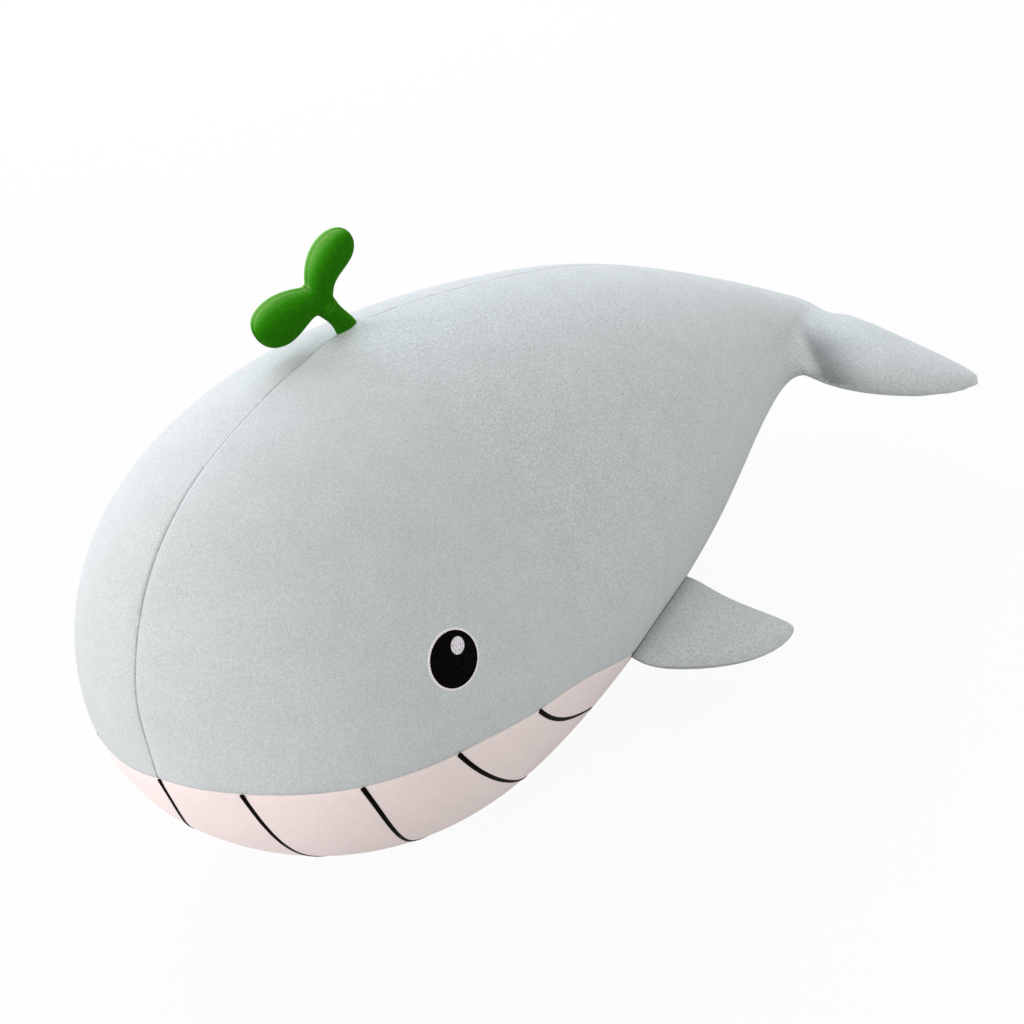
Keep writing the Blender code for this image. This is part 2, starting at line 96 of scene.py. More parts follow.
class Side(Enum):
    """The whale's own sides, with the sign of X there."""

    LEFT = 1
    RIGHT = -1

    @property
    def word(self) -> str:
        """The side's name as the nodes spell it."""
        return self.name.lower()


@dataclass(frozen=True)
class Ring:
    """One cross section of a soft form: its centre, its half axes across and up, and how deep it is below."""

    centre: Vector
    across: Vector
    rise: Vector
    drop: float = 1.0


def linear(colour: Sequence[float]) -> tuple[float, float, float, float]:
    """Turns an sRGB colour of 0 to 255 into a shader's linear colour.

    Args:
        colour: Red, green and blue.

    Returns:
        The linear colour with full alpha.
    """
    shares = [channel / 255 for channel in colour]
    made = [s / 12.92 if s <= 0.04045 else ((s + 0.055) / 1.055) ** 2.4 for s in shares]
    return (*made, 1.0)


def on_whale(along: float, across: float, height: float) -> Vector:
    """Places a point given as shares of the body's length, width and height.

    Args:
        along: From the nose, 0, to the tail, 1.
        across: From the middle to the left.
        height: Up from the keel.

    Returns:
        The point in the model's frame.
    """
    return Vector((across * BODY_WIDTH, along * BODY_LENGTH, height * BODY_HEIGHT)) + LIFT


# ---------------------------------------------------------------------------- shaping tools


def loft(rings: Sequence[Ring], first: Vector, last: Vector, segments: int) -> bmesh.types.BMesh:
    """Shapes a sphere into a closed soft form that runs through rings, from one pole to the other.

    Args:
        rings: The cross sections in order.
        first: The pole before the first ring.
        last: The pole after the last ring.
        segments: Corners of each ring.

    Returns:
        The closed cage.
    """
    bm = bmesh.new()
    rows = len(rings) + 1
    bmesh.ops.create_uvsphere(bm, u_segments=segments, v_segments=rows, radius=1)
    for vertex in bm.verts:
        row = round(math.acos(max(-1.0, min(1.0, vertex.co.z))) * rows / math.pi)
        if row in (0, rows):
            vertex.co = last if row else first
            continue
        ring = rings[row - 1]
        angle = math.atan2(vertex.co.y, vertex.co.x)
        reach = math.sin(angle) * (1.0 if angle > 0 else ring.drop)
        vertex.co = ring.centre + ring.across * math.cos(angle) + ring.rise * reach
    bmesh.ops.recalc_face_normals(bm, faces=bm.faces)
    return bm


def add_piece(name: str, bm: bmesh.types.BMesh) -> bpy.types.Object:
    """Makes an object at the origin from a bmesh, which it frees.

    Args:
        name: The object's name.
        bm: The shape, in the model's frame.

    Returns:
        The new object.
    """
    mesh = bpy.data.meshes.new(name)
    bm.to_mesh(mesh)
    bm.free()
    piece = bpy.data.objects.new(name, mesh)
    bpy.context.scene.collection.objects.link(piece)
    mesh.shade_smooth()
    return piece


def settle(piece: bpy.types.Object) -> None:
    """Applies a piece's modifiers to its mesh.

    Args:
        piece: The object to finish.
    """
    shape = piece.evaluated_get(bpy.context.evaluated_depsgraph_get())
    old = piece.data
    made = bpy.data.meshes.new_from_object(shape)
    piece.modifiers.clear()
    piece.data = made
    made.name = piece.name
    bpy.data.meshes.remove(old)
    made.shade_smooth()


def smoothed(piece: bpy.types.Object, levels: int) -> bpy.types.Object:
    """Subdivides a piece and applies the result.

    Args:
        piece: The object.
        levels: How many times each face is split.

    Returns:
        The same object.
    """
    rounding = piece.modifiers.new("rounding", "SUBSURF")
    rounding.levels = levels
    rounding.render_levels = levels
    settle(piece)
    return piece


def remeshed(piece: bpy.types.Object, cell: float) -> bpy.types.Object:
    """Gives a piece one even skin of small quads round all its closed parts.

    Args:
        piece: The object.
        cell: The quads' size.

    Returns:
        The same object.
    """
    skin = piece.modifiers.new("skin", "REMESH")
    skin.mode = "VOXEL"
    skin.voxel_size = cell
    settle(piece)
    return piece


def rows_of(piece: bpy.types.Object, kind: str) -> np.ndarray:
    """Reads one vector of each mesh point as rows of X, Y and Z."""
    found = np.zeros(len(piece.data.vertices) * 3, np.float32)
    piece.data.vertices.foreach_get(kind, found)
    return found.reshape(-1, 3).astype(float)


def points_of(piece: bpy.types.Object) -> np.ndarray:
    """Reads a mesh's points."""
    return rows_of(piece, "co")


def normals_of(piece: bpy.types.Object) -> np.ndarray:
    """Reads a mesh's point normals."""
    return rows_of(piece, "normal")


def move_points(piece: bpy.types.Object, points: np.ndarray) -> None:
    """Writes a mesh's points back."""
    piece.data.vertices.foreach_set("co", points.astype(np.float32).ravel())
    piece.data.update()


def push(piece: bpy.types.Object, heights: np.ndarray | float) -> None:
    """Moves a mesh's points outwards, or inwards where the height is below 0.

    Args:
        piece: The object.
        heights: How far each point moves, or one height for all.
    """
    rise = np.broadcast_to(heights, len(piece.data.vertices))
    move_points(piece, points_of(piece) + normals_of(piece) * rise[:, None])


def relax(piece: bpy.types.Object, weights: np.ndarray, passes: int, keep: bool = False, fill: bool = False) -> None:
    """Smooths a mesh, more where the weights are higher.

    Args:
        piece: The object.
        weights: From 0 to 1 for each point.
        passes: How many times each point moves towards its neighbours.
        keep: Whether each second pass moves back, so that the form doesn't shrink.
        fill: Whether points only move outwards, which rounds hollows and leaves ridges as they are.
    """
    edges = np.zeros(len(piece.data.edges) * 2, np.int32)
    piece.data.edges.foreach_get("vertices", edges)
    a, b = edges.reshape(-1, 2).T
    points = points_of(piece)
    normals = normals_of(piece)
    count = np.zeros(len(points))
    np.add.at(count, a, 1)
    np.add.at(count, b, 1)
    share = (weights / 2)[:, None]
    for step in range(passes):
        total = np.zeros_like(points)
        np.add.at(total, a, points[b])
        np.add.at(total, b, points[a])
        pull = (total / count[:, None] - points) * share
        if fill:
            pull *= (np.sum(pull * normals, axis=1) > 0)[:, None]
        points = points - pull * KEEP_SHARE if keep and step % 2 else points + pull
    move_points(piece, points)


def inflate(piece: bpy.types.Object, pinned: np.ndarray, cap: float, pressure: float = 4.0) -> None:
    """Blows a sewn cover up by cloth simulation, with its seams held, and caps how far it may swell.

    Args:
        piece: The cover.
        pinned: True for each point on a seam.
        cap: The furthest that a point may move.
        pressure: The filling's pressure.
    """
    scene = bpy.context.scene
    rest = points_of(piece)
    seams = piece.vertex_groups.new(name="seams")
    seams.add([int(i) for i in np.nonzero(pinned)[0]], 1.0, "REPLACE")
    cloth = piece.modifiers.new("filling", "CLOTH")
    cloth.settings.use_pressure = True
    cloth.settings.uniform_pressure_force = pressure
    cloth.settings.effector_weights.gravity = 0
    cloth.settings.vertex_group_mass = seams.name
    cloth.point_cache.frame_start = 1
    cloth.point_cache.frame_end = SIMULATION_FRAMES
    for frame_number in range(1, SIMULATION_FRAMES + 1):
        scene.frame_set(frame_number)
    settle(piece)
    scene.frame_set(1)
    piece.vertex_groups.clear()
    moved = points_of(piece) - rest
    reach = np.linalg.norm(moved, axis=1, keepdims=True)
    softened = cap * np.tanh(reach / cap) / np.maximum(reach, 1e-9)
    move_points(piece, rest + moved * softened)
    log.info("%s swells %.1f mm at most", piece.name, 1000 * float(reach.max()))


def store(piece: bpy.types.Object, name: str, values: np.ndarray) -> None:
    """Keeps one number for each point on the mesh, for its material.

    Args:
        piece: The object.
        name: The attribute's name.
        values: One number for each point.
    """
    attribute = piece.data.attributes.new(name, "FLOAT", "POINT")
    attribute.data.foreach_set("value", values.astype(np.float32))


def bell(distance: np.ndarray, width: float) -> np.ndarray:
    """A smooth hump of 1 at no distance that falls off within a width."""
    return np.exp(-((distance / width) ** 2))


def ramp(values: np.ndarray, start: float, end: float) -> np.ndarray:
    """Rises smoothly from 0 at the start to 1 at the end."""
    share = np.clip((values - start) / (end - start), 0, 1)
    return share * share * (3 - 2 * share)


def segment_distance(points: np.ndarray, one: Sequence[float], other: Sequence[float]) -> np.ndarray:
    """How far each point is from a straight line between two ends."""
    start, way = np.array(one), np.array(other) - np.array(one)
    share = np.clip((points - start) @ way / (way @ way), 0, 1)
    return np.linalg.norm(points - start - share[:, None] * way, axis=1)


def level_distance(value: np.ndarray, gradient: np.ndarray, normals: np.ndarray) -> np.ndarray:
    """How far along the skin each point lies from where a value is 0.

    Args:
        value: The value at each point.
        gradient: How it grows in space there.
        normals: The skin's way out.

    Returns:
        The distances.
    """
    along = gradient - normals * np.sum(gradient * normals, axis=1, keepdims=True)
    return np.abs(value) / np.maximum(np.linalg.norm(along, axis=1), 0.05)


# ---------------------------------------------------------------------------- finishes


class Nodes:
    """A material's node tree, with short ways to add what the finishes share."""

    def __init__(self, name: str) -> None:
        """Starts an empty tree with a Principled shader.

        Args:
            name: The material's name.
        """
        self.material = bpy.data.materials.new(name)
        self.material.use_nodes = True
        self.tree = self.material.node_tree
        self.shader = self.tree.nodes["Principled BSDF"]
        self.place = self.add("ShaderNodeTexCoord").outputs["Object"]

    def add(self, kind: str, **settings: object) -> bpy.types.Node:
        """Adds a node with its settings."""
        made = self.tree.nodes.new(kind)
        for key, value in settings.items():
            setattr(made, key, value)
        return made

    def join(self, source: bpy.types.NodeSocket, target: bpy.types.NodeSocket) -> None:
        """Links two sockets."""
        self.tree.links.new(source, target)

    def noise(self, scale: float, detail: float, stretch: Sequence[float] = (1, 1, 1)) -> bpy.types.NodeSocket:
        """Adds a noise on the piece's own place.

        Args:
            scale: How many features there are in a metre.
            detail: How many finer layers it has.
            stretch: How the place is scaled first, which draws the features out.

        Returns:
            The noise's value.
        """
        mapping = self.add("ShaderNodeMapping")
        mapping.inputs["Scale"].default_value = stretch
        self.join(self.place, mapping.inputs["Vector"])
        made = self.add("ShaderNodeTexNoise")
        made.inputs["Scale"].default_value = scale
        made.inputs["Detail"].default_value = detail
        self.join(mapping.outputs["Vector"], made.inputs["Vector"])
        return made.outputs["Fac"]

    def spread(
        self, value: bpy.types.NodeSocket, low: float, high: float, start: float = 0.0, end: float = 1.0
    ) -> bpy.types.NodeSocket:
        """Maps a value from one range to another, smoothly.

        Args:
            value: What is mapped.
            low: The result at the start.
            high: The result at the end.
            start: Where the value's range begins.
            end: Where it ends.

        Returns:
            The mapped value.
        """
        made = self.add("ShaderNodeMapRange", interpolation_type="SMOOTHSTEP")
        for key, number in (("From Min", start), ("From Max", end), ("To Min", low), ("To Max", high)):
            made.inputs[key].default_value = number
        self.join(value, made.inputs["Value"])
        return made.outputs["Result"]

    def swing(self, value: bpy.types.NodeSocket, strength: float) -> bpy.types.NodeSocket:
        """Turns a noise into a brightness that goes as far under 1 as over it."""
        return self.spread(value, 1 - strength, 1 + strength, 0.27, 0.73)

    def stored(self, name: str) -> bpy.types.NodeSocket:
        """Reads a number that the mesh keeps for each point."""
        return self.add("ShaderNodeAttribute", attribute_name=name).outputs["Fac"]

    def lengthwise(self) -> bpy.types.NodeSocket:
        """Where a point lies along the whale."""
        apart = self.add("ShaderNodeSeparateXYZ")
        self.join(self.place, apart.inputs["Vector"])
        return apart.outputs["Y"]

    def math(
        self, operation: str, first: bpy.types.NodeSocket, second: bpy.types.NodeSocket | float
    ) -> bpy.types.NodeSocket:
        """Adds one sum of two values."""
        made = self.add("ShaderNodeMath", operation=operation)
        self.join(first, made.inputs[0])
        if isinstance(second, (int, float)):
            made.inputs[1].default_value = second
        else:
            self.join(second, made.inputs[1])
        return made.outputs["Value"]

    def tinted(self, colour: Sequence[float], brightness: bpy.types.NodeSocket) -> bpy.types.NodeSocket:
        """Multiplies a colour by a brightness.

        Args:
            colour: The sRGB colour, 0 to 255.
            brightness: A value about 1.

        Returns:
            The colour socket.
        """
        made = self.add("ShaderNodeVectorMath", operation="SCALE")
        made.inputs[0].default_value = linear(colour)[:3]
        self.join(brightness, made.inputs["Scale"])
        return made.outputs["Vector"]

    def toward(
        self, colour: bpy.types.NodeSocket, other: Sequence[float], share: bpy.types.NodeSocket
    ) -> bpy.types.NodeSocket:
        """Mixes a colour with another one.

        Args:
            colour: The colour's socket.
            other: The other sRGB colour, 0 to 255.
            share: How much of the other one, from 0 to 1.

        Returns:
            The mixed colour's socket.
        """
        made = self.add("ShaderNodeMix", data_type="RGBA")
        self.join(share, made.inputs[0])
        self.join(colour, made.inputs[6])
        made.inputs[7].default_value = linear(other)
        return made.outputs[2]

    def bumped(self, height: bpy.types.NodeSocket, distance: float, strength: float) -> None:
        """Gives the shader a bump from a height.

        Args:
            height: The height, 0 to 1.
            distance: How far 1 stands out, in metres.
            strength: How strongly it shows.
        """
        made = self.add("ShaderNodeBump")
        made.inputs["Distance"].default_value = distance
        made.inputs["Strength"].default_value = strength
        self.join(height, made.inputs["Height"])
        self.join(made.outputs["Normal"], self.shader.inputs["Normal"])

    def surface(
        self,
        roughness: float,
        specular: float,
        sheen: float = 0.0,
        sheen_roughness: float = 0.5,
        sheen_tint: Sequence[float] = (1, 1, 1, 1),
    ) -> bpy.types.Material:
        """Sets how the shader takes the light.

        Args:
            roughness: The surface's roughness.
            specular: How much it mirrors.
            sheen: How strongly its fibres catch light from the side.
            sheen_roughness: How wide that light spreads.
            sheen_tint: Its colour.

        Returns:
            The finished material.
        """
        for name, value in (
            ("Roughness", roughness),
            ("Specular IOR Level", specular),
            ("Sheen Weight", sheen),
            ("Sheen Roughness", sheen_roughness),
            ("Sheen Tint", sheen_tint),
        ):
            self.shader.inputs[name].default_value = value
        return self.material


@dataclass(frozen=True)
class PlushFinish:
    """Short brushed pile: mottled where the nap lies this way or that, with painted shade down in its seams and in
    its hollows.
    """

    name: str
    colour: tuple[float, float, float]
    slot: str
    nap: float = 0.060
    nap_scale: float = 800.0
    nap_stretch: tuple[float, float, float] = (1.0, 0.8, 1.0)
    pile: float = 0.20
    pile_scale: float = 1750.0
    cloud: float = 0.02
    cloud_scale: float = 60.0
    # Painted shade down in the seams: how dark at the seam, and how far it reaches.
    seam_shade: float = 0.72
    seam_width: float = 0.0008
    # The pile closes over the seam unevenly: features in a metre, and the least and most of its width.
    wander_scale: float = 420.0
    wander: tuple[float, float] = (0.6, 1.5)
    # Painted shade in the hollows: how dark at the deepest.
    hollow_shade: float = 0.56
    sheen: float = 0.20
    relief: float = 0.00012
    relief_strength: float = 0.8
    # The pile lies flatter on the head: how much of its mottling is left there.
    head_share: float = 0.55
    head_end: tuple[float, float] = (-0.15, -0.09)

    def build(self) -> bpy.types.Material:
        """Makes the material.

        Returns:
            The plush material.
        """
        nodes = Nodes(self.name)
        nap = nodes.noise(self.nap_scale, 1.0, self.nap_stretch)
        pile = nodes.noise(self.pile_scale, 1.0)
        cloud = nodes.noise(self.cloud_scale, 2.0)
        brightness = nodes.math("MULTIPLY", nodes.swing(pile, self.pile), nodes.swing(nap, self.nap))
        flat = nodes.spread(nodes.lengthwise(), self.head_share, 1.0, *self.head_end)
        brightness = nodes.math("ADD", nodes.math("MULTIPLY", nodes.math("ADD", brightness, -1.0), flat), 1.0)
        # Painted shade down in the seams, of uneven width, and in the hollows.
        wander = nodes.spread(nodes.noise(self.wander_scale, 1.0), *self.wander, 0.35, 0.65)
        seam = nodes.math("DIVIDE", nodes.stored(SEAM_ATTRIBUTE), wander)
        hollow = nodes.math("MULTIPLY", nodes.stored(HOLLOW_SHADE_ATTRIBUTE), -self.hollow_shade)
        for part in (
            nodes.swing(cloud, self.cloud),
            nodes.spread(seam, self.seam_shade, 1.0, 0.0, self.seam_width),
            nodes.math("ADD", hollow, 1.0),
        ):
            brightness = nodes.math("MULTIPLY", brightness, part)
        nodes.join(nodes.tinted(self.colour, brightness), nodes.shader.inputs["Base Color"])
        height = nodes.math("MULTIPLY", nodes.math("ADD", nap, pile), 0.5)
        nodes.bumped(height, self.relief, self.relief_strength)
        return nodes.surface(0.95, 0.1, self.sheen)


@dataclass(frozen=True)
class ThreadFinish:
    """Machine embroidery: close rows of shiny thread that run along the piece's own V direction."""

    name: str
    colour: tuple[float, float, float]
    slot: str
    pitch: float = 0.00045
    contrast: float = 0.25
    blotch: float = 0.3
    blotch_scale: float = 900.0
    gloss: float = 0.3
    relief: float = 0.0002

    def build(self) -> bpy.types.Material:
        """Makes the material.

        Returns:
            The thread material.
        """
        nodes = Nodes(self.name)
        own = nodes.add("ShaderNodeUVMap", uv_map=THREAD_MAP).outputs["UV"]
        rows = nodes.add("ShaderNodeTexWave", wave_type="BANDS", bands_direction="X", wave_profile="SIN")
        rows.inputs["Scale"].default_value = 1 / self.pitch / (2 * math.pi) * 2
        rows.inputs["Distortion"].default_value = 1.2
        rows.inputs["Detail"].default_value = 1.0
        nodes.join(own, rows.inputs["Vector"])
        row = rows.outputs["Fac"]
        blotch = nodes.noise(self.blotch_scale, 2.0)
        brightness = nodes.math(
            "MULTIPLY",
            nodes.spread(row, 1 - self.contrast, 1.0),
            nodes.spread(blotch, max(0.0, 1 - self.blotch), 1 + self.blotch, 0.3, 0.7),
        )
        nodes.join(nodes.tinted(self.colour, brightness), nodes.shader.inputs["Base Color"])
        nodes.bumped(row, self.relief, 0.7)
        return nodes.surface(0.55, self.gloss)


@dataclass(frozen=True)
class VelourFinish:
    """Velour with a very short, dense pile: a painted highlight on the seams' rims, painted shade just inside them,
    and painted light where it faces one fixed way.
    """

    name: str
    colour: tuple[float, float, float]
    slot: str
    nap: float = 0.07
    nap_scale: float = 420.0
    pile: float = 0.10
    pile_scale: float = 1600.0
    relief: float = 0.0002
    sheen: float = 0.45
    sheen_tint: tuple[float, float, float, float] = (0.20, 0.55, 0.02, 1)
    # Painted highlight on the seams' rims and painted shade just inside them: how bright and wide the highlight is,
    # and how dark the shade and where it ends.
    rim_light: float = 1.35
    rim_width: float = 0.0007
    seam_shade: float = 0.74
    seam_width: float = 0.0020
    # Painted light: the colour is lighter, and mixed towards a pale yellow-green highlight, where the surface faces
    # this fixed way, mostly up and to the front, as if lit from there.
    brushed_to: tuple[float, float, float] = (-0.153, -0.42, 0.894)
    paler: float = 2.3
    tips: tuple[float, float, float] = (200, 235, 160)
    tips_share: float = 0.22

    def build(self) -> bpy.types.Material:
        """Makes the material.

        Returns:
            The velour material.
        """
        nodes = Nodes(self.name)
        nap = nodes.noise(self.nap_scale, 2.0)
        pile = nodes.noise(self.pile_scale, 1.0)
        seam = nodes.stored(SEAM_ATTRIBUTE)
        brightness = nodes.math("MULTIPLY", nodes.swing(nap, self.nap), nodes.swing(pile, self.pile))
        # Painted highlight on the rims, painted shade just inside them, and painted light where the surface faces the
        # fixed way.
        painted_light_facing = self.add_meeting(nodes)
        for part in (
            nodes.spread(seam, self.rim_light, 1.0, 0.0, self.rim_width),
            nodes.spread(seam, self.seam_shade, 1.0, self.rim_width, self.seam_width),
            nodes.spread(painted_light_facing, 1.0, self.paler, 0.0, 0.8),
        ):
            brightness = nodes.math("MULTIPLY", brightness, part)
        painted_highlight = nodes.spread(painted_light_facing, 0.0, self.tips_share, 0.35, 1.0)
        colour = nodes.toward(nodes.tinted(self.colour, brightness), self.tips, painted_highlight)
        nodes.join(colour, nodes.shader.inputs["Base Color"])
        nodes.bumped(nodes.math("ADD", nap, pile), self.relief, 0.5)
        return nodes.surface(0.9, 0.03, self.sheen, 0.35, self.sheen_tint)

    def add_meeting(self, nodes: Nodes) -> bpy.types.NodeSocket:
        """How squarely the surface faces the fixed way that its painted light comes from.

        Args:
            nodes: The material's nodes.

        Returns:
            The value's socket, 1 where it faces that way squarely.
        """
        made = nodes.add("ShaderNodeVectorMath", operation="DOT_PRODUCT")
        nodes.join(nodes.add("ShaderNodeTexCoord").outputs["Normal"], made.inputs[0])
        made.inputs[1].default_value = self.brushed_to
        return made.outputs["Value"]


BLUE_GREY = PlushFinish("brushed_blue_grey", (198, 207, 208), "blue_grey_plush")
PINKISH_WHITE = PlushFinish(
    "brushed_pinkish_white", (243, 232, 230), "pinkish_white_plush", nap=0.02, pile=0.07, cloud=0.015, seam_shade=0.95
)
BLACK_THREAD = ThreadFinish("black_stitches", (4, 3, 2), "black_thread", gloss=0.02, blotch=3.5)
WHITE_THREAD = ThreadFinish("white_stitches", (253, 249, 254), "white_thread", contrast=0.06, blotch=0.05)
LILAC_THREAD = ThreadFinish("lilac_white_stitches", (238, 237, 245), "white_thread", 0.0011, 0.30, 0.22)
GREEN_VELOUR = VelourFinish("short_green_velour", (36, 110, 8), "green_velour")

Finish = PlushFinish | ThreadFinish | VelourFinish


def dress(piece: bpy.types.Object, finish: Finish) -> None:
    """Gives a piece its material.

    Args:
        piece: The object.
        finish: What it is made of.
    """
    found = bpy.data.materials.get(finish.name) or finish.build()
    piece.data.materials.clear()
    piece.data.materials.append(found)


# ---------------------------------------------------------------------------- the limbs' frames


@dataclass(frozen=True)
class Hinge:
    """A joint's place and its three axes: along the hinge, out along what it carries, and square to both."""

    place: Vector
    axis: Vector
    outward: Vector

    @property
    def normal(self) -> Vector:
        """The third axis."""
        return self.axis.cross(self.outward)

    def at(self, along: float, shift: float, height: float = 0.0) -> Vector:
        """A point given outwards from the hinge, along it and above it."""
        return self.place + self.outward * along + self.axis * shift + self.normal * height


def joint_of(child: str, joints: Iterable[dict]) -> tuple[Vector, Vector]:
    """Finds the joint that carries a body.

    Args:
        child: The body's name.
        joints: The record's joints.

    Returns:
        The joint's place and axis.
    """
    found = next(joint for joint in joints if joint["child"] == child)
    return Vector(found["pos_m"]), Vector(found["axis"]).normalized()


@dataclass(frozen=True)
class LimbForm:
    """The form of a flat, filled limb that droops from level, and its sections from the root to the tip."""

    kind: str
    length: float
    chord: float
    thickness: float
    droop: float
    # Outwards, rearward shift and half width of the chord, and half thickness.
    section_shares: tuple[tuple[float, ...], ...]
    tip_share: tuple[float, float]

    def hinge(self, side: Side, joints: Iterable[dict]) -> Hinge:
        """The hinge that a side's limb bends about.

        Args:
            side: Which side's limb.
            joints: The record's joints.

        Returns:
            The hinge, with its outward axis along the limb.
        """
        place, axis = joint_of(f"{self.kind}_{side.word}", joints)
        level = UP.cross(axis).normalized()
        return Hinge(place, axis, level * math.cos(self.droop) - UP * math.sin(self.droop))

    def cage(self, side: Side, hinge: Hinge) -> bmesh.types.BMesh:
        """The closed cage that the limb's rounded form is subdivided from.

        Args:
            side: Which side's limb.
            hinge: Its hinge.

        Returns:
            The cage.
        """
        rings = []
        for along, shift, half_width, half_thickness in self.section_shares:
            centre = hinge.at(along * self.length, -side.value * shift * self.chord)
            across = hinge.axis * half_width * self.chord
            rings.append(Ring(centre, across, hinge.normal * half_thickness * self.thickness))
        along, shift = self.tip_share
        tip = hinge.at(along * self.length, -side.value * shift * self.chord)
        return loft(rings, rings[0].centre, tip, 8)


FLUKE = LimbForm(
    kind="fluke",
    length=0.090,
    chord=0.0847,
    thickness=0.0275,
    droop=math.radians(18.8),
    section_shares=(
        (-0.250, -0.010, 0.430, 0.280),
        (-0.030, -0.006, 0.530, 0.340),
        (0.155, -0.008, 0.520, 0.490),
        (0.400, 0.008, 0.462, 0.460),
        (0.722, 0.094, 0.334, 0.340),
        (0.955, 0.212, 0.168, 0.195),
    ),
    tip_share=(1.062, 0.276),
)
FLIPPER = LimbForm(
    kind="flipper",
    length=0.0575,
    chord=0.077,
    thickness=0.0236,
    droop=math.radians(20.9),
    section_shares=(
        (-0.200, 0.000, 0.500, 0.260),
        (-0.020, 0.000, 0.535, 0.300),
        (0.130, -0.005, 0.520, 0.430),
        (0.330, 0.029, 0.443, 0.500),
        (0.590, 0.121, 0.362, 0.430),
        (0.850, 0.252, 0.258, 0.300),
        (0.980, 0.366, 0.130, 0.160),
    ),
    tip_share=(1.012, 0.424),
)


# ---------------------------------------------------------------------------- the body


@dataclass
class BodyCovers:
    """The back's two halves with their flukes, and the belly, sewn round one filled bag."""

    joints: list[dict]
    cell: float = 0.004
    seam_depth: float = 0.0007
    seam_width: float = 0.001625
    # Where the centre seam runs over the head it is a low ridge more than a groove; behind the sprout it fades.
    seam_welt: float = 0.0003
    seam_welt_width: float = 0.0011
    head_top: tuple[float, float] = (-0.26, -0.20)
    sprout_back: tuple[float, float] = (-0.11, -0.07)
    fade_over_head: float = 0.85
    fade_behind: float = 0.8
    shrink: float = 0.0010
    swell: float = 0.0013
    # Without the simulation, how far from a seam the cover swells.
    quick_swell_width: float = 0.007
    belly_seam_depth: float = 0.0005
    collar_rise: float = 0.0011
    collar_width: float = 0.011
    # The hollow along the centre seam, ahead of the sprout, and the painted shade laid in it, which reaches less far
    # to the seam's left.
    dip_place: float = -0.130
    dip_length: float = 0.014
    dip_width: float = 0.0042
    dip_depth: float = 0.0008
    dip_left_share: float = 0.25
    dip_shade: float = 0.35
    upper_half: float = 0.15
    # How steeply the belly's seam drops to the right of the nose, and between which places along the body that ends.
    right_drop: float = 0.150
    right_drop_ends: tuple[float, float] = (-0.20, -0.08)
    # The line where a fluke leaves the tail: how far in it is, how wide its hollow, and from where beside the middle.
    root_inset: float = 0.004
    root_width: float = 0.014
    root_from: float = 0.02
    # The same at the line's rear end.
    rear_root_start: float = 0.02
    rear_root_width: float = 0.024
    rear_root_from: float = 0.015
    bend_reach: float = 0.015
    bend_way: tuple[float, float] = (0.94, 0.34)
    # Along the body, half width, crown, keel and widest line's height.
    section_shares: tuple[tuple[float, ...], ...] = (
        (0.000, 0.116, 0.672, 0.367, 0.529),
        (0.050, 0.414, 0.914, 0.172, 0.419),
        (0.170, 0.570, 1.053, 0.036, 0.432),
        (0.320, 0.544, 1.075, -0.040, 0.457),
        (0.470, 0.484, 0.999, -0.054, 0.470),
        (0.640, 0.405, 0.878, 0.009, 0.455),
        (0.800, 0.262, 0.683, 0.150, 0.408),
        (0.920, 0.208, 0.521, 0.242, 0.345),
        (0.985, 0.230, 0.425, 0.255, 0.325),
        (1.003, 0.210, 0.400, 0.290, 0.330),
    )
    # Along the body, and how high the belly's seam lies.
    seam_shares: tuple[tuple[float, float], ...] = (
        (-0.050, 0.461),
        (0.000, 0.461),
        (0.040, 0.454),
        (0.090, 0.450),
        (0.164, 0.444),
        (0.217, 0.419),
        (0.267, 0.397),
        (0.316, 0.354),
        (0.369, 0.289),
        (0.424, 0.217),
        (0.480, 0.157),
        (0.560, 0.099),
        (0.640, 0.048),
        (0.700, -0.020),
        (0.800, -0.400),
        (1.100, -0.900),
    )
    # Along the body, and how far the centre seam wanders to the left.
    wander_shares: tuple[tuple[float, float], ...] = (
        (-0.05, 0.000),
        (0.00, -0.003),
        (0.05, -0.008),
        (0.20, -0.004),
        (0.25, -0.014),
        (0.285, -0.028),
        (0.325, -0.034),
        (0.38, -0.024),
        (0.52, 0.000),
        (1.10, 0.000),
    )
    sprout_place: Vector = field(default_factory=lambda: Vector((-0.0080, -0.0982, 0.2418)))
    pucker: float = 0.0022
    pucker_width: float = 0.009
    pucker_way: Vector = field(default_factory=lambda: Vector((0.762, 0.648, 0)))
    # Seen from above, the hollow that runs slantwise across the left fluke's root, pressed into the skin and darkened
    # with painted shade.
    valley_line: tuple[tuple[float, float], ...] = ((0.0400, 0.2334), (0.0708, 0.2023))
    valley_depth: float = 0.0016
    valley_width: float = 0.0160
    valley_inner_share: float = 0.28
    # Between which shares of the line it deepens, and between which it ends.
    valley_start: tuple[float, float] = (-0.15, 0.65)
    valley_end: tuple[float, float] = (1.2, 1.8)
    # The small folds ahead of it, by their two ends.
    folds: tuple[tuple[tuple[float, float, float], ...], ...] = (
        ((0.0543, 0.1716, 0.1109), (0.0539, 0.1796, 0.0890)),
        ((0.0469, 0.2090, 0.1016), (0.0559, 0.1982, 0.0840)),
        ((0.0515, 0.2131, 0.0951), (0.0602, 0.1987, 0.0838)),
    )
    fold_rise: float = 0.0004
    fold_width: float = 0.0016
    surface: BVHTree | None = None

    def build(self) -> None:
        """Makes the three covers and hides the frame's parts that they replace."""
        skin = self.one_skin()
        self.surface = BVHTree.FromObject(skin, bpy.context.evaluated_depsgraph_get())
        for side in Side:
            self.finish_back(side, self.part_of(skin, f"back_cover_{side.word}", side))
        self.finish_belly(self.part_of(skin, "belly_cover", None))
        bpy.data.objects.remove(skin, do_unlink=True)

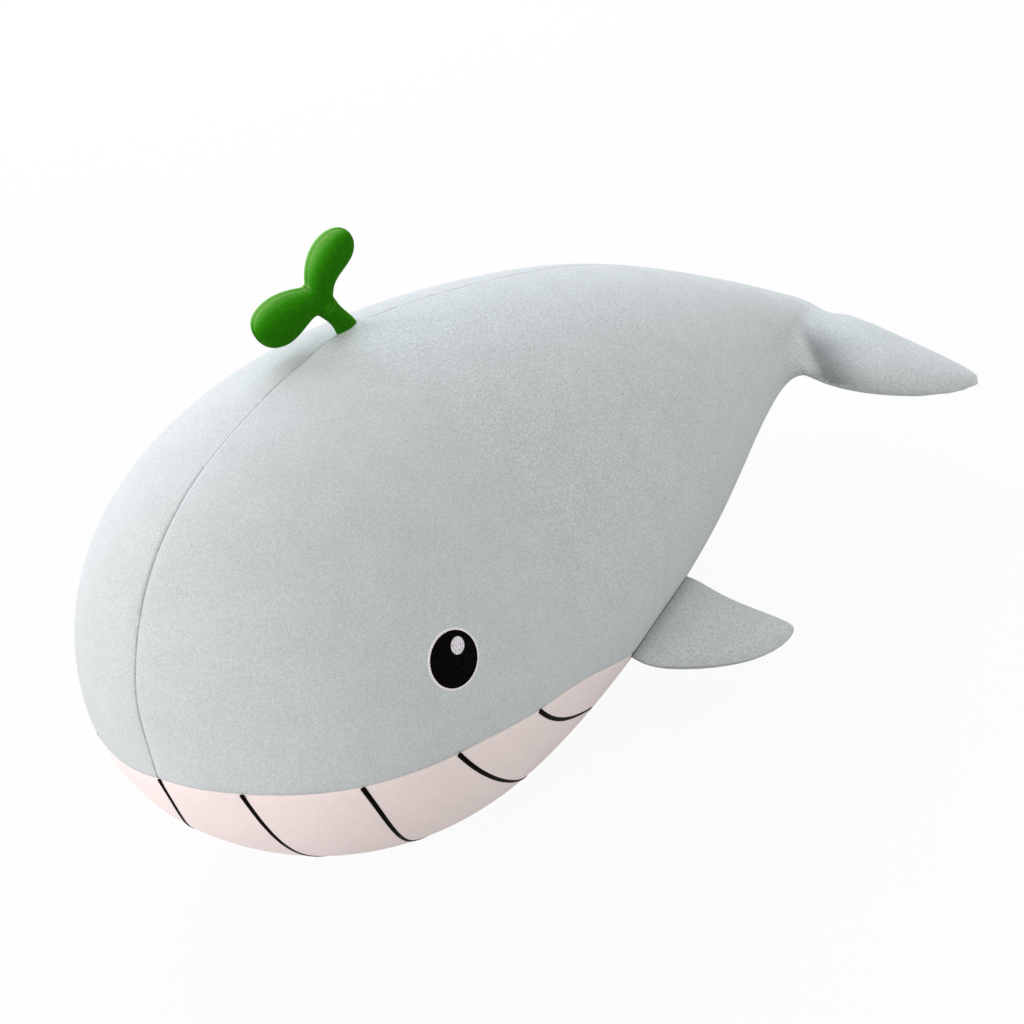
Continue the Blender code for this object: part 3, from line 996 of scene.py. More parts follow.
    def body_rings(self) -> list[Ring]:
        """The body's own cross sections."""
        rings = []
        for along, half_width, crown, keel, middle in self.section_shares:
            centre = on_whale(along, 0.0, middle)
            across = Vector((half_width * BODY_WIDTH, 0, 0))
            rise = UP * (crown - middle) * BODY_HEIGHT
            rings.append(Ring(centre, across, rise, (middle - keel) / (crown - middle)))
        return rings

    def fluke_hinge(self, side: Side) -> Hinge:
        """The hinge that a side's fluke bends about."""
        return FLUKE.hinge(side, self.joints)

    def one_skin(self) -> bpy.types.Object:
        """The whole cover before its seams: the body and both flukes in one even skin, filled.

        Returns:
            A closed skin.
        """
        rings = self.body_rings()
        skin = smoothed(add_piece("whole_skin", loft(rings, rings[0].centre, rings[-1].centre, 8)), 4)
        for side in Side:
            cage = FLUKE.cage(side, self.fluke_hinge(side))
            self.absorb(skin, smoothed(add_piece(f"fluke_form_{side.word}", cage), 3))
        remeshed(skin, self.cell)
        points = points_of(skin)
        relax(skin, np.ones(len(points)), 8, keep=True)
        relax(skin, self.near_fluke_roots(points), 18, fill=True)
        relax(skin, self.behind_fluke_roots(points), 60, fill=True)
        relax(skin, np.ones(len(points)), 4, keep=True)
        push(skin, -self.shrink)
        points, normals = points_of(skin), normals_of(skin)
        edge = np.minimum(self.centre_distance(points, normals), self.belly_distance(points, normals))
        inflate(skin, edge < self.cell * 0.6, self.swell)
        relax(skin, np.ones(len(points)), 4, keep=True)
        smoothed(skin, 1)
        self.press_in(skin)
        return skin

    @staticmethod
    def absorb(target: bpy.types.Object, other: bpy.types.Object) -> None:
        """Adds another object's mesh to a target's and removes the other.

        Args:
            target: What keeps both shapes.
            other: What goes.
        """
        bm = bmesh.new()
        bm.from_mesh(target.data)
        bm.from_mesh(other.data)
        bm.to_mesh(target.data)
        bm.free()
        bpy.data.objects.remove(other, do_unlink=True)

    def near_fluke_roots(self, points: np.ndarray) -> np.ndarray:
        """How near each point is to the line where a fluke leaves the tail, from 0 to 1."""
        near = np.zeros(len(points))
        for side in Side:
            hinge = self.fluke_hinge(side)
            offset = points - np.array(hinge.at(-self.root_inset, 0.0))
            out = offset @ np.array(hinge.outward)
            near = np.maximum(near, bell(out, self.root_width) * (np.abs(points[:, 0]) > self.root_from))
        return near

    def behind_fluke_roots(self, points: np.ndarray) -> np.ndarray:
        """How near each point is to the rear end of the line where a fluke leaves the tail, from 0 to 1."""
        near = np.zeros(len(points))
        for side in Side:
            hinge = self.fluke_hinge(side)
            offset = points - np.array(hinge.place)
            out = offset @ np.array(hinge.outward)
            rear = ramp(offset[:, 1], 0.0, self.rear_root_start) * (points[:, 0] * side.value > self.rear_root_from)
            near = np.maximum(near, bell(out, self.rear_root_width) * rear)
        return near

    @staticmethod
    def smooth_table(stations: Sequence[Sequence[float]], size: float) -> tuple[np.ndarray, np.ndarray]:
        """A table along the body as a fine, smooth line.

        Args:
            stations: Shares of the body's length with shares of a size.
            size: What the second shares are of.

        Returns:
            Places on the model's Y axis and the values there.
        """
        table = np.array(stations)
        places = table[:, 0] * BODY_LENGTH + LIFT.y
        fine = np.linspace(places[0], places[-1], 400)
        kernel = bell(np.arange(-12, 13), 7.0)
        padded = np.pad(np.interp(fine, places, table[:, 1] * size), 12, mode="edge")
        return fine, np.convolve(padded, kernel / kernel.sum(), mode="valid")

    def over_belly_seam(self, points: np.ndarray) -> np.ndarray:
        """How high each point is over the belly's seam, which drops a little to the right of the nose."""
        fine, heights = self.smooth_table(self.seam_shares, BODY_HEIGHT)
        drop = np.maximum(-points[:, 0], 0) * self.right_drop * (1 - ramp(points[:, 1], *self.right_drop_ends))
        return points[:, 2] - LIFT.z - np.interp(points[:, 1], fine, heights) + drop

    def on_belly_seam(self, point: Vector) -> Vector:
        """Moves a point up or down onto the belly's seam."""
        return point - UP * float(self.over_belly_seam(np.array([point]))[0])

    def beside_centre_seam(self, points: np.ndarray) -> np.ndarray:
        """How far each point is to the left of the back's centre seam."""
        fine, sideways = self.smooth_table(self.wander_shares, BODY_WIDTH)
        return points[:, 0] - np.interp(points[:, 1], fine, sideways)

    def belly_distance(self, points: np.ndarray, normals: np.ndarray) -> np.ndarray:
        """How far along the skin each point lies from the belly's seam."""
        return self.to_seam(self.over_belly_seam, points, normals)

    def centre_distance(self, points: np.ndarray, normals: np.ndarray) -> np.ndarray:
        """How far along the skin each point lies from the back's centre seam, which ends at the belly."""
        distance = self.to_seam(self.beside_centre_seam, points, normals)
        return np.hypot(distance, np.minimum(self.over_belly_seam(points), 0))

    @staticmethod
    def to_seam(value: Callable[[np.ndarray], np.ndarray], points: np.ndarray, normals: np.ndarray) -> np.ndarray:
        """The distance along the skin to where a value is 0."""
        step = 0.001
        here = value(points)
        gradient = np.stack([(value(points + step * axis) - here) / step for axis in np.eye(3)], axis=1)
        return level_distance(here, gradient, normals)

    def press_in(self, skin: bpy.types.Object) -> None:
        """Draws the skin in where the sprout is sewn on, and across the flukes' roots.

        Args:
            skin: The whole skin.
        """
        points, normals = points_of(skin), normals_of(skin)
        offset = points - np.array(self.sprout_place)
        near = np.hypot(offset[:, 0], offset[:, 1])
        lean = offset @ np.array(self.pucker_way) / self.pucker_width
        rise = self.pucker * lean * bell(near, self.pucker_width) * PUCKER_GAIN
        rise += self.collar_rise * bell(near, self.collar_width)
        rise *= points[:, 2] > self.upper_half
        rise -= self.valley_depth * self.valley(points, normals) + self.dip_depth * self.dip(points, 1.0)
        for side in Side:
            mirror = np.array([side.value, 1, 1])
            for one, other in self.folds:
                rise += self.fold_rise * bell(segment_distance(points * mirror, one, other), self.fold_width)
        move_points(skin, points + normals * rise[:, None])

    def dip(self, points: np.ndarray, left_share: float) -> np.ndarray:
        """How deep in the hollow along the centre seam, ahead of the sprout, a point lies, from 0 to 1.

        Args:
            points: Points of a cover.
            left_share: How much of the hollow shows on the seam's left.

        Returns:
            One value for each point.
        """
        beside = self.beside_centre_seam(points)
        along = points[:, 1] - self.dip_place
        wide = np.where(beside < 0, bell(beside, self.dip_width), bell(beside, self.dip_width * left_share))
        return wide * bell(along, self.dip_length) * (points[:, 2] > self.upper_half)

    def part_of(self, skin: bpy.types.Object, name: str, side: Side | None) -> bpy.types.Object:
        """Cuts one cover out of the whole skin along its seams and closes it.

        Args:
            skin: The whole skin.
            name: The new piece's name.
            side: Which half of the back, or None for the belly.

        Returns:
            The closed cover.
        """
        bm = bmesh.new()
        bm.from_mesh(skin.data)
        self.cut(bm, self.over_belly_seam, 2, -1 if side is None else 1)
        if side:
            self.cut(bm, self.beside_centre_seam, 0, side.value)
        return add_piece(name, bm)

    def cut(self, bm: bmesh.types.BMesh, value: Callable[[np.ndarray], np.ndarray], axis: int, keep: int) -> None:
        """Cuts a closed shape where a value is 0: bends it until that is flat, halves it and bends it back.

        Args:
            bm: The shape.
            value: What is 0 on the seam, and grows one for one along the axis.
            axis: 0 for X, 2 for Z.
            keep: Which side stays, 1 or -1.
        """
        snap = self.cell * 0.14
        self.bend(bm, value, axis, snap)
        self.halve(bm, Vector((keep, 0, 0)) if axis == 0 else Vector((0, 0, keep)))
        points = np.array([vertex.co for vertex in bm.verts])
        straight = points.copy()
        for _ in range(4):
            straight[:, axis] += points[:, axis] - value(straight)
        for vertex, place in zip(bm.verts, straight):
            vertex.co = place

    @staticmethod
    def bend(bm: bmesh.types.BMesh, value: Callable[[np.ndarray], np.ndarray], axis: int, snap: float) -> None:
        """Puts each point where its value is along an axis, and the nearest ones right on the seam."""
        bent = value(np.array([vertex.co for vertex in bm.verts]))
        for vertex, place in zip(bm.verts, bent):
            vertex.co[axis] = 0.0 if abs(place) < snap else place

    @staticmethod
    def halve(bm: bmesh.types.BMesh, keep: Vector) -> None:
        """Cuts a closed shape through the origin, keeps one half and closes it.

        Args:
            bm: The shape.
            keep: The way to the half that stays.
        """
        everything = [*bm.verts, *bm.edges, *bm.faces]
        made = bmesh.ops.bisect_plane(
            bm, geom=everything, dist=1e-6, plane_co=(0, 0, 0), plane_no=keep, clear_inner=True
        )
        rim = [edge for edge in made["geom_cut"] if isinstance(edge, bmesh.types.BMEdge) and edge.is_boundary]
        bmesh.ops.triangle_fill(bm, use_beauty=True, edges=rim)
        bmesh.ops.recalc_face_normals(bm, faces=bm.faces)

    def groove(self, piece: bpy.types.Object) -> None:
        """Sinks a cover's edge into its seams and keeps, for its material, the distance to them and the painted shade
        in its hollows.

        Args:
            piece: The cover.
        """
        points = points_of(piece)
        away, outer = self.outward_at(points)
        centre = self.centre_distance(points, away)
        belly = self.belly_distance(points, away)
        over_head = ramp(points[:, 1], *self.head_top)
        left = 1 - self.fade_behind * ramp(points[:, 1], *self.sprout_back)
        fade = (1 - self.fade_over_head * over_head) * left
        welt = self.seam_welt * (over_head * left) * bell(centre, self.seam_welt_width)
        depth = np.maximum(
            fade * self.seam_depth * np.exp(-centre / self.seam_width) - welt,
            self.belly_seam_depth * np.exp(-belly / self.seam_width),
        )
        move_points(piece, points - away * (depth * outer)[:, None])
        store(piece, SEAM_ATTRIBUTE, np.minimum(centre / fade, FAR_FROM_SEAM))
        # Painted shade in the hollows across the flukes' roots and in the dip ahead of the sprout.
        dip = self.dip(points, self.dip_left_share) * self.dip_shade
        store(piece, HOLLOW_SHADE_ATTRIBUTE, self.valley(points, away) + dip)

    def valley(self, points: np.ndarray, normals: np.ndarray) -> np.ndarray:
        """How deep in the hollow across each fluke's upper root a point lies, from 0 to 1."""
        depth = np.zeros(len(points))
        start, end = (np.array(corner) for corner in self.valley_line)
        way = (end - start) / np.linalg.norm(end - start)
        for side in Side:
            offset = points[:, :2] * [side.value, 1] - start
            along = offset @ way / np.linalg.norm(end - start)
            beyond = offset @ np.array([-way[1], way[0]])
            inner_width = self.valley_width * self.valley_inner_share
            band = np.where(beyond > 0, bell(beyond, self.valley_width), bell(beyond, inner_width))
            length = ramp(along, *self.valley_start) * (1 - ramp(along, *self.valley_end))
            depth = np.maximum(depth, band * length * ramp(normals[:, 2], -0.5, 0.5))
        return depth

    def outward_at(self, points: np.ndarray) -> tuple[np.ndarray, np.ndarray]:
        """The whole skin's way out at each point, and whether the point lies on it and not inside.

        Args:
            points: Points of a cover.

        Returns:
            The same way out for both covers that meet at a seam, and True for each point on the skin.
        """
        found = [self.surface.find_nearest(Vector(point)) for point in points]
        return np.array([hit[1] for hit in found]), np.array([hit[3] < 0.0006 for hit in found])

    def finish_back(self, side: Side, piece: bpy.types.Object) -> None:
        """Grooves and dresses one half of the back with its fluke, and hides the frame's parts that it replaces.

        Args:
            side: Which half.
            piece: The closed cover.
        """
        self.groove(piece)
        dress(piece, BLUE_GREY)
        fluke = f"fluke_{side.word}"
        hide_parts(f"back_panel_{side.word}", *(f"{fluke}_{part}" for part in LIMB_PARTS))
        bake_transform(piece)
        report(piece)

    def finish_belly(self, piece: bpy.types.Object) -> None:
        """Grooves, dresses and hands over the belly.

        Args:
            piece: The closed cover.
        """
        self.groove(piece)
        points = points_of(piece)
        points[:, 2] = np.maximum(points[:, 2], 0.0)
        move_points(piece, points)
        dress(piece, PINKISH_WHITE)
        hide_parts("belly_panel", "body_stuffing")
        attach(piece, "whale")
        report(piece)


def report(piece: bpy.types.Object) -> None:
    """Logs a finished piece's name and size."""
    log.info("%s: %d faces", piece.name, len(piece.data.polygons))


# ---------------------------------------------------------------------------- the flippers


@dataclass
class Flipper:
    """One flipper: a flat filled pad, sewn to the side at its root and closed along its edge."""

    side: Side
    joints: list[dict]
    surface: BVHTree
    edge_depth: float = 0.0006
    edge_width: float = 0.0012
    # Where the flipper's bend would start, outwards from its hinge, and where it would end; nothing here bends it.
    bend: tuple[float, float] = (-0.004, 0.010)
    # Beside the whale's side the pile is darkened with painted shade: how far that reaches and how much, close by and
    # farther out.
    root_shades: tuple[tuple[float, float], ...] = ((0.0006, 1.6), (0.0045, 0.55))

    def build(self) -> None:
        """Makes the flipper and hides the frame's parts that it replaces."""
        body = f"flipper_{self.side.word}"
        hinge = FLIPPER.hinge(self.side, self.joints)
        piece = smoothed(add_piece(f"flipper_cover_{self.side.word}", FLIPPER.cage(self.side, hinge)), 4)
        self.edge_seam(piece, hinge)
        dress(piece, BLUE_GREY)
        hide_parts(*(f"{body}_{part}" for part in LIMB_PARTS))
        start, end = (hinge.at(along, 0.0) for along in self.bend)
        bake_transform(piece)
        report(piece)

    def edge_seam(self, piece: bpy.types.Object, hinge: Hinge) -> None:
        """Presses a fine line along the sewn edge, and keeps painted shade that darkens the pile near the whale's
        side.

        Args:
            piece: The flipper.
            hinge: Its hinge.
        """
        points, normals = points_of(piece), normals_of(piece)
        height = (points - np.array(hinge.place)) @ np.array(hinge.normal)
        flat = np.abs(normals @ np.array(hinge.normal))
        push(piece, bell(height, self.edge_width) * (flat < 0.5) * -self.edge_depth)
        store(piece, SEAM_ATTRIBUTE, np.where(flat < 0.6, np.abs(height), FAR_FROM_SEAM))
        # Painted shade in the crease where the flipper meets the whale's side.
        away = np.array([self.surface.find_nearest(Vector(point))[3] for point in points])
        near, farther = (bell(away, width) * shade for width, shade in self.root_shades)
        store(piece, HOLLOW_SHADE_ATTRIBUTE, np.maximum(near, farther))


# ---------------------------------------------------------------------------- the embroidery


@dataclass
class Embroidery:
    """What lays stitches on the covers: it finds the skin under a point."""

    surface: BVHTree
    sink: float = 0.0006

    def under(self, guess: Vector) -> tuple[Vector, Vector]:
        """The skin's nearest point and its way out.

        Args:
            guess: A point near the skin.

        Returns:
            The place and the normal.
        """
        place, normal, _, _ = self.surface.find_nearest(guess)
        return place, normal

    def lay(self, bm: bmesh.types.BMesh, place: Callable[[float, float], Vector]) -> None:
        """Lays a flat patch on the skin: X and Y say where it goes, and Z how far it stands out.

        Args:
            bm: The flat patch.
            place: Turns X and Y into a point near the skin.
        """
        layer = bm.loops.layers.uv.new(THREAD_MAP)
        for face in bm.faces:
            for loop in face.loops:
                loop[layer].uv = loop.vert.co.xy
        for vertex in bm.verts:
            across, along, height = vertex.co
            on_skin, normal = self.under(place(across, along))
            vertex.co = on_skin + normal * height


@dataclass
class Eye(Embroidery):
    """One embroidered eye: a black oval of satin stitches in a thin pale rim, with a white highlight."""

    side: Side = Side.LEFT
    height: float = 0.0270
    width: float = 0.0252
    rim: float = 0.0011
    rim_shown: float = 0.00045
    stand: float = 0.0004
    highlight_height: float = 0.0082
    highlight_width: float = 0.0071
    highlight_rise: float = 0.0058
    highlight_back: float = 0.0009
    highlight_stand: float = 1.7
    # The stitches' uneven edge: how far it swings, how often round the oval, and where it starts.
    edge_swings: tuple[tuple[float, int, float], ...] = ((0.009, 61, 0.0), (0.006, 23, 1.0))
    rim_swing: tuple[float, int] = (0.006, 43)
    place_share: tuple[float, float, float] = (0.1561, 0.449, 0.6147)
    up_share: tuple[float, float, float] = (-0.123, 0.530, 0.839)

    def build(self) -> None:
        """Makes the eye's three patches and hands them to the frame."""
        along, across, height = self.place_share
        centre, normal = self.under(on_whale(along, self.side.value * across, height))
        lean, back, rise = self.up_share
        up = Vector((self.side.value * lean, back, rise))
        up = (up - normal * up.dot(normal)).normalized()
        rear = (up.cross(normal) * -self.side.value).normalized()
        if rear.y < 0:
            rear = -rear

        def at(x: float, y: float) -> Vector:
            return centre + rear * x + up * y

        inner = (self.width / 2 - self.rim_shown, self.height / 2 - self.rim_shown)
        black = self.patch(inner, (0.0, 0.0), self.stand)
        self.finish("eye_black", black, at, BLACK_THREAD)
        spot = (self.highlight_width / 2, self.highlight_height / 2)
        white = self.patch(spot, (self.highlight_back, self.highlight_rise), self.stand * self.highlight_stand)
        self.finish("eye_highlight", white, at, LILAC_THREAD)
        self.finish("eye_rim", self.rim_ring(), at, WHITE_THREAD)

    def patch(self, half: tuple[float, float], centre: tuple[float, float], stand: float) -> bmesh.types.BMesh:
        """A low oval dome of stitches with a slightly uneven edge.

        Args:
            half: Half the width and half the height.
            centre: Where its middle is.
            stand: How far it stands out.

        Returns:
            The closed patch.
        """
        bm = bmesh.new()
        bmesh.ops.create_uvsphere(bm, u_segments=240, v_segments=24, radius=1)
        for vertex in bm.verts:
            angle = math.atan2(vertex.co.y, vertex.co.x)
            reach = math.hypot(vertex.co.x, vertex.co.y)
            swing = sum(size * math.sin(often * angle + start) for size, often, start in self.edge_swings)
            uneven = 1 + swing * reach
            height = math.copysign(abs(vertex.co.z) ** 0.6, vertex.co.z)
            vertex.co.x = centre[0] + vertex.co.x * half[0] * uneven
            vertex.co.y = centre[1] + vertex.co.y * half[1] * uneven
            vertex.co.z = height * stand if height > 0 else height * self.sink
        return bm

    def rim_ring(self) -> bmesh.types.BMesh:
        """The thin pale ring round the black.

        Returns:
            The closed ring.
        """
        bm = bmesh.new()
        bmesh.ops.create_circle(bm, segments=10, radius=1)
        tube = self.rim / 2
        for vertex in bm.verts:
            vertex.co = Vector((self.width / 2 - tube + vertex.co.x * tube, 0, vertex.co.y * self.stand))
        bmesh.ops.spin(
            bm, geom=[*bm.verts, *bm.edges], cent=(0, 0, 0), axis=(0, 0, 1), dvec=(0, 0, 0),
            angle=2 * math.pi, steps=96, use_merge=True, use_normal_flip=False, use_duplicate=False,
        )
        tall = self.height / self.width
        for vertex in bm.verts:
            angle = math.atan2(vertex.co.y, vertex.co.x)
            uneven = 1 + self.rim_swing[0] * math.sin(self.rim_swing[1] * angle)
            vertex.co.x *= uneven
            vertex.co.y *= tall * uneven
        bmesh.ops.recalc_face_normals(bm, faces=bm.faces)
        return bm

    def finish(
        self, kind: str, bm: bmesh.types.BMesh, at: Callable[[float, float], Vector], finish: Finish
    ) -> None:
        """Lays a patch on the skin, dresses it and hands it over.

        Args:
            kind: The patch's node name without its side.
            bm: The flat patch.
            at: Turns the patch's own place into the model's.
            finish: The thread.
        """
        self.lay(bm, at)
        bmesh.ops.recalc_face_normals(bm, faces=bm.faces)
        piece = add_piece(f"{kind}_stitching_{self.side.word}", bm)
        dress(piece, finish)
        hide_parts(f"{kind}_{self.side.word}")
        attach(piece, "whale")
        report(piece)


@dataclass
class ThroatLine(Embroidery):
    """One satin-stitched line that runs from the belly seam to under the throat."""

    node: str = "throat_line_centre"
    route: Sequence[Vector] = ()
    width: float = 0.0024
    tip: float = 0.0013
    stand: float = 0.0003
    blunt: float = 0.0006
    stitch: float = 0.0012
    # The stitches' uneven edge, and how much closer the mesh's rows are at the line's upper end.
    edge_swing: float = 0.05
    crowding: float = 1.25
    rows: int = 320

    def build(self) -> None:
        """Makes the line and hands it to the frame."""
        stops = np.array(self.route)
        steps = np.linalg.norm(np.diff(stops, axis=0), axis=1)
        flat = float(steps.sum())
        curve = np.polyfit(np.concatenate([[0], np.cumsum(steps)]), stops, len(stops) - 1)

        def at(x: float, y: float) -> Vector:
            here, ahead = (Vector([np.polyval(column, y + step) for column in curve.T]) for step in (0, 0.001))
            on_skin, out = self.under(here)
            return on_skin + out.cross(ahead - here).normalized() * x

        bm = bmesh.new()
        bmesh.ops.create_uvsphere(bm, u_segments=12, v_segments=self.rows, radius=1)
        for vertex in bm.verts:
            share = math.acos(max(-1.0, min(1.0, vertex.co.z))) / math.pi
            share = round(share * self.rows) / self.rows
            angle = math.atan2(vertex.co.y, vertex.co.x)
            reach = share**self.crowding
            place = reach * flat
            ends = min(1.0, place / self.blunt, (flat - place) / self.tip)
            full = math.sqrt(1 - (1 - ends) ** 2)
            half = (self.width + (self.tip - self.width) * reach) / 2 * full
            half *= 1 + self.edge_swing * math.sin(place / self.stitch * 2 * math.pi)
            rise = math.sin(angle) * full
            across = math.cos(angle) * half if 0 < share < 1 else 0.0
            vertex.co = Vector((across, place, rise * (self.stand if rise > 0 else self.sink)))
        self.lay(bm, at)
        bmesh.ops.recalc_face_normals(bm, faces=bm.faces)
        piece = add_piece(f"{self.node}_stitching", bm)
        dress(piece, BLACK_THREAD)
        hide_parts(self.node)
        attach(piece, "whale")
        log.info("%s: %.0f mm long", piece.name, 1000 * flat)


# Along, across and height of the points that each line runs through, from the middle outwards.
THROAT_LINE_SHARES = (
    ((0.002, -0.001, 0.459), (0.008, 0.004, 0.372), (0.026, -0.032, 0.297), (0.100, -0.030, 0.101)),
    ((0.017, 0.174, 0.456), (0.028, 0.190, 0.358), (0.053, 0.187, 0.261), (0.115, 0.190, 0.110)),
    ((0.068, 0.359, 0.452), (0.078, 0.370, 0.373), (0.104, 0.347, 0.265), (0.148, 0.338, 0.122)),
    ((0.136, 0.454, 0.441), (0.155, 0.462, 0.376), (0.194, 0.443, 0.283), (0.245, 0.405, 0.165)),
    ((0.222, 0.488, 0.410), (0.239, 0.485, 0.371), (0.282, 0.458, 0.297), (0.339, 0.400, 0.212)),
)
# On the right, the first line beside the middle lies farther out.
FIRST_RIGHT_LINE_SHARES = ((0.040, 0.279, 0.455), (0.050, 0.290, 0.357), (0.076, 0.280, 0.262), (0.134, 0.275, 0.117))


# ---------------------------------------------------------------------------- the sprout


@dataclass
class Sprout:
    """The velour sprout: a stem sewn on the back, and a pair of leaves in one, sewn across its top."""

    joints: list[dict]
    origin: Vector = field(default_factory=lambda: Vector((-0.0081, -0.0985, 0.2422)))
    cell: float = 0.0010
    stem_half_depth: float = 0.0056
    leaf_half_depth: float = 0.0062
    edge_depth: float = 0.0004
    edge_width: float = 0.0006
    sewn_depth: float = 0.00015
    sewn_width: float = 0.0007
    # The seam across the stem's top is shaded as the pile is this far from an edge.
    sewn_shade_from: float = 0.0014
    # How far the edge seam lies out of the sprout's plane.
    seam_aside: float = 0.0014
    # Above and below the stem's hinge, how far its bend would reach, and where each leaf's neck would bend, outwards
    # from its hinge; nothing here bends them.
    stem_bend: float = 0.004
    neck_bend: tuple[float, float] = (0.001, 0.009)
    # Two edges of each section on the sprout's own plane, in millimetres back and up from its root.
    stem_edges: tuple[tuple[float, ...], ...] = (
        (-3.8, -4.6, 7.0, -3.4),
        (-4.7, 1.6, 6.7, 1.8),
        (-6.7, 5.6, 4.6, 5.6),
        (-9.5, 9.2, 1.5, 9.6),
        (-13.0, 12.8, -1.2, 14.0),
        (-14.4, 16.6, -2.4, 18.0),
        (-14.0, 20.0, -3.6, 21.0),
    )
    rear_leaf_edges: tuple[tuple[float, ...], ...] = (
        (-15.0, 22.4, -4.4, 14.0),
        (-15.0, 26.6, -2.6, 18.6),
        (-14.2, 31.4, -1.6, 23.4),
        (-12.6, 36.6, 2.2, 27.2),
        (-9.6, 41.8, 7.4, 30.4),
        (-5.0, 46.2, 11.4, 34.0),
        (1.0, 48.8, 13.1, 38.6),
        (6.4, 48.6, 12.9, 42.4),
    )
    rear_tip: tuple[float, float] = (10.6, 46.6)
    front_leaf_edges: tuple[tuple[float, ...], ...] = (
        (-9.6, 25.4, -4.8, 13.0),
        (-14.2, 26.8, -9.4, 12.6),
        (-19.0, 27.8, -14.8, 12.2),
        (-24.1, 28.6, -20.6, 8.2),
        (-29.5, 28.9, -27.0, 4.4),
        (-35.0, 28.0, -33.6, 3.6),
        (-40.2, 25.8, -39.4, 5.8),
        (-43.9, 22.6, -43.2, 10.2),
    )
    front_tip: tuple[float, float] = (-45.6, 17.0)
    stem_depth_shares: tuple[float, ...] = (0.95, 1.0, 1.0, 1.0, 1.0, 0.8, 0.5)
    leaf_depth_shares: tuple[float, ...] = (0.60, 0.78, 0.90, 1.0, 1.06, 1.0, 0.84, 0.60)
    # The seam between the stem and the leaves, and the crease between the leaves, on the same plane.
    stem_top: tuple[tuple[float, float], ...] = ((-1.8, 18.4), (-12.8, 11.8))
    stem_top_sag: float = 0.8
    crease: tuple[tuple[float, float], ...] = ((-16.4, 28.4), (-6.6, 14.6))

    @property
    def level(self) -> Vector:
        """The plane's level direction, which the stem's joint also turns about."""
        return joint_of("stem", self.joints)[1]

    @property
    def square(self) -> Vector:
        """The direction square to the plane."""
        return self.level.cross(UP)

    def on_plane(self, back: float, up: float) -> Vector:
        """A point of the sprout's own plane, given in millimetres."""
        return self.origin + self.level * (back / 1000) + UP * (up / 1000)

    def plane_of(self, points: np.ndarray) -> tuple[np.ndarray, np.ndarray, np.ndarray]:
        """Where points are on the sprout's plane, in millimetres, and how far out of it, in metres."""
        offset = points - np.array(self.origin)
        return offset @ np.array(self.level) * 1000, offset[:, 2] * 1000, offset @ np.array(self.square)

    def rings(self, edges: Sequence[Sequence[float]], depths: Sequence[float], half_depth: float) -> list[Ring]:
        """Cross sections between two edges of the plane.

        Args:
            edges: Two points of the plane for each section.
            depths: Each section's half depth as a share.
            half_depth: The half depth at a share of 1.

        Returns:
            The rings.
        """
        made = []
        for (a, b, c, d), share in zip(edges, depths):
            one, other = self.on_plane(a, b), self.on_plane(c, d)
            rise = self.square * share * half_depth * SMOOTHING_GAIN
            made.append(Ring((one + other) / 2, (other - one) / 2 * SMOOTHING_GAIN, rise))
        return made

    def build(self) -> None:
        """Makes the stem and both leaves from one skin, and hides the frame's parts that they replace."""
        skin = self.one_skin()
        stem_hinge, _ = joint_of("stem", self.joints)
        reach = UP * self.stem_bend
        stem = self.part_of(skin, "stem_cover", ((self.under_top, 1),))
        self.finish(stem, "stem", "whale", stem_hinge - reach, stem_hinge + reach)
        for name, keep, tip in (("leaf_rear", 1, self.rear_tip), ("leaf_front", -1, self.front_tip)):
            leaf = self.part_of(skin, f"{name}_cover", ((self.under_top, -1), (self.behind_crease, keep)))
            hinge, axis = joint_of(name, self.joints)
            outward = self.square.cross(axis)
            if outward.dot(self.on_plane(*tip) - hinge) < 0:
                outward = -outward
            start, end = (hinge + outward * along for along in self.neck_bend)
            self.finish(leaf, name, "stem", start, end)
        bpy.data.objects.remove(skin, do_unlink=True)

    def one_skin(self) -> bpy.types.Object:
        """The stem and both leaves under one smooth skin.

        Returns:
            A closed skin.
        """
        rings = self.rings(self.stem_edges, self.stem_depth_shares, self.stem_half_depth)
        skin = smoothed(add_piece("sprout_skin", loft(rings, rings[0].centre, rings[-1].centre, 12)), 3)
        for edges, tip in ((self.rear_leaf_edges, self.rear_tip), (self.front_leaf_edges, self.front_tip)):
            rings = self.rings(edges, self.leaf_depth_shares, self.leaf_half_depth)
            leaf = smoothed(add_piece("leaf_form", loft(rings, rings[0].centre, self.on_plane(*tip), 12)), 3)
            BodyCovers.absorb(skin, leaf)
        remeshed(skin, self.cell)
        points = points_of(skin)
        relax(skin, np.ones(len(points)), 6, keep=True)
        _, up, _ = self.plane_of(points)
        relax(skin, ramp(up, 6, 10), 14, fill=True)
        relax(skin, np.ones(len(points)), 4, keep=True)
        return smoothed(skin, 1)

    def under_top(self, points: np.ndarray) -> np.ndarray:
        """How far each point is below the seam across the stem's top, in metres."""
        back, up, _ = self.plane_of(points)
        (x0, y0), (x1, y1) = self.stem_top
        length = math.hypot(x1 - x0, y1 - y0)
        along = ((back - x0) * (x1 - x0) + (up - y0) * (y1 - y0)) / length
        below = ((back - x0) * (y1 - y0) - (up - y0) * (x1 - x0)) / length
        middle = along / length * 2 - 1
        return (below * np.sign(x1 - x0) - self.stem_top_sag * np.maximum(1 - middle**2, 0)) / 1000

    def behind_crease(self, points: np.ndarray) -> np.ndarray:
        """How far each point is on the rear leaf's side of the crease between the leaves, in metres."""
        back, up, _ = self.plane_of(points)
        (x0, y0), (x1, y1) = self.crease
        length = math.hypot(x1 - x0, y1 - y0)
        return ((up - y0) * (x1 - x0) - (back - x0) * (y1 - y0)) / length / 1000

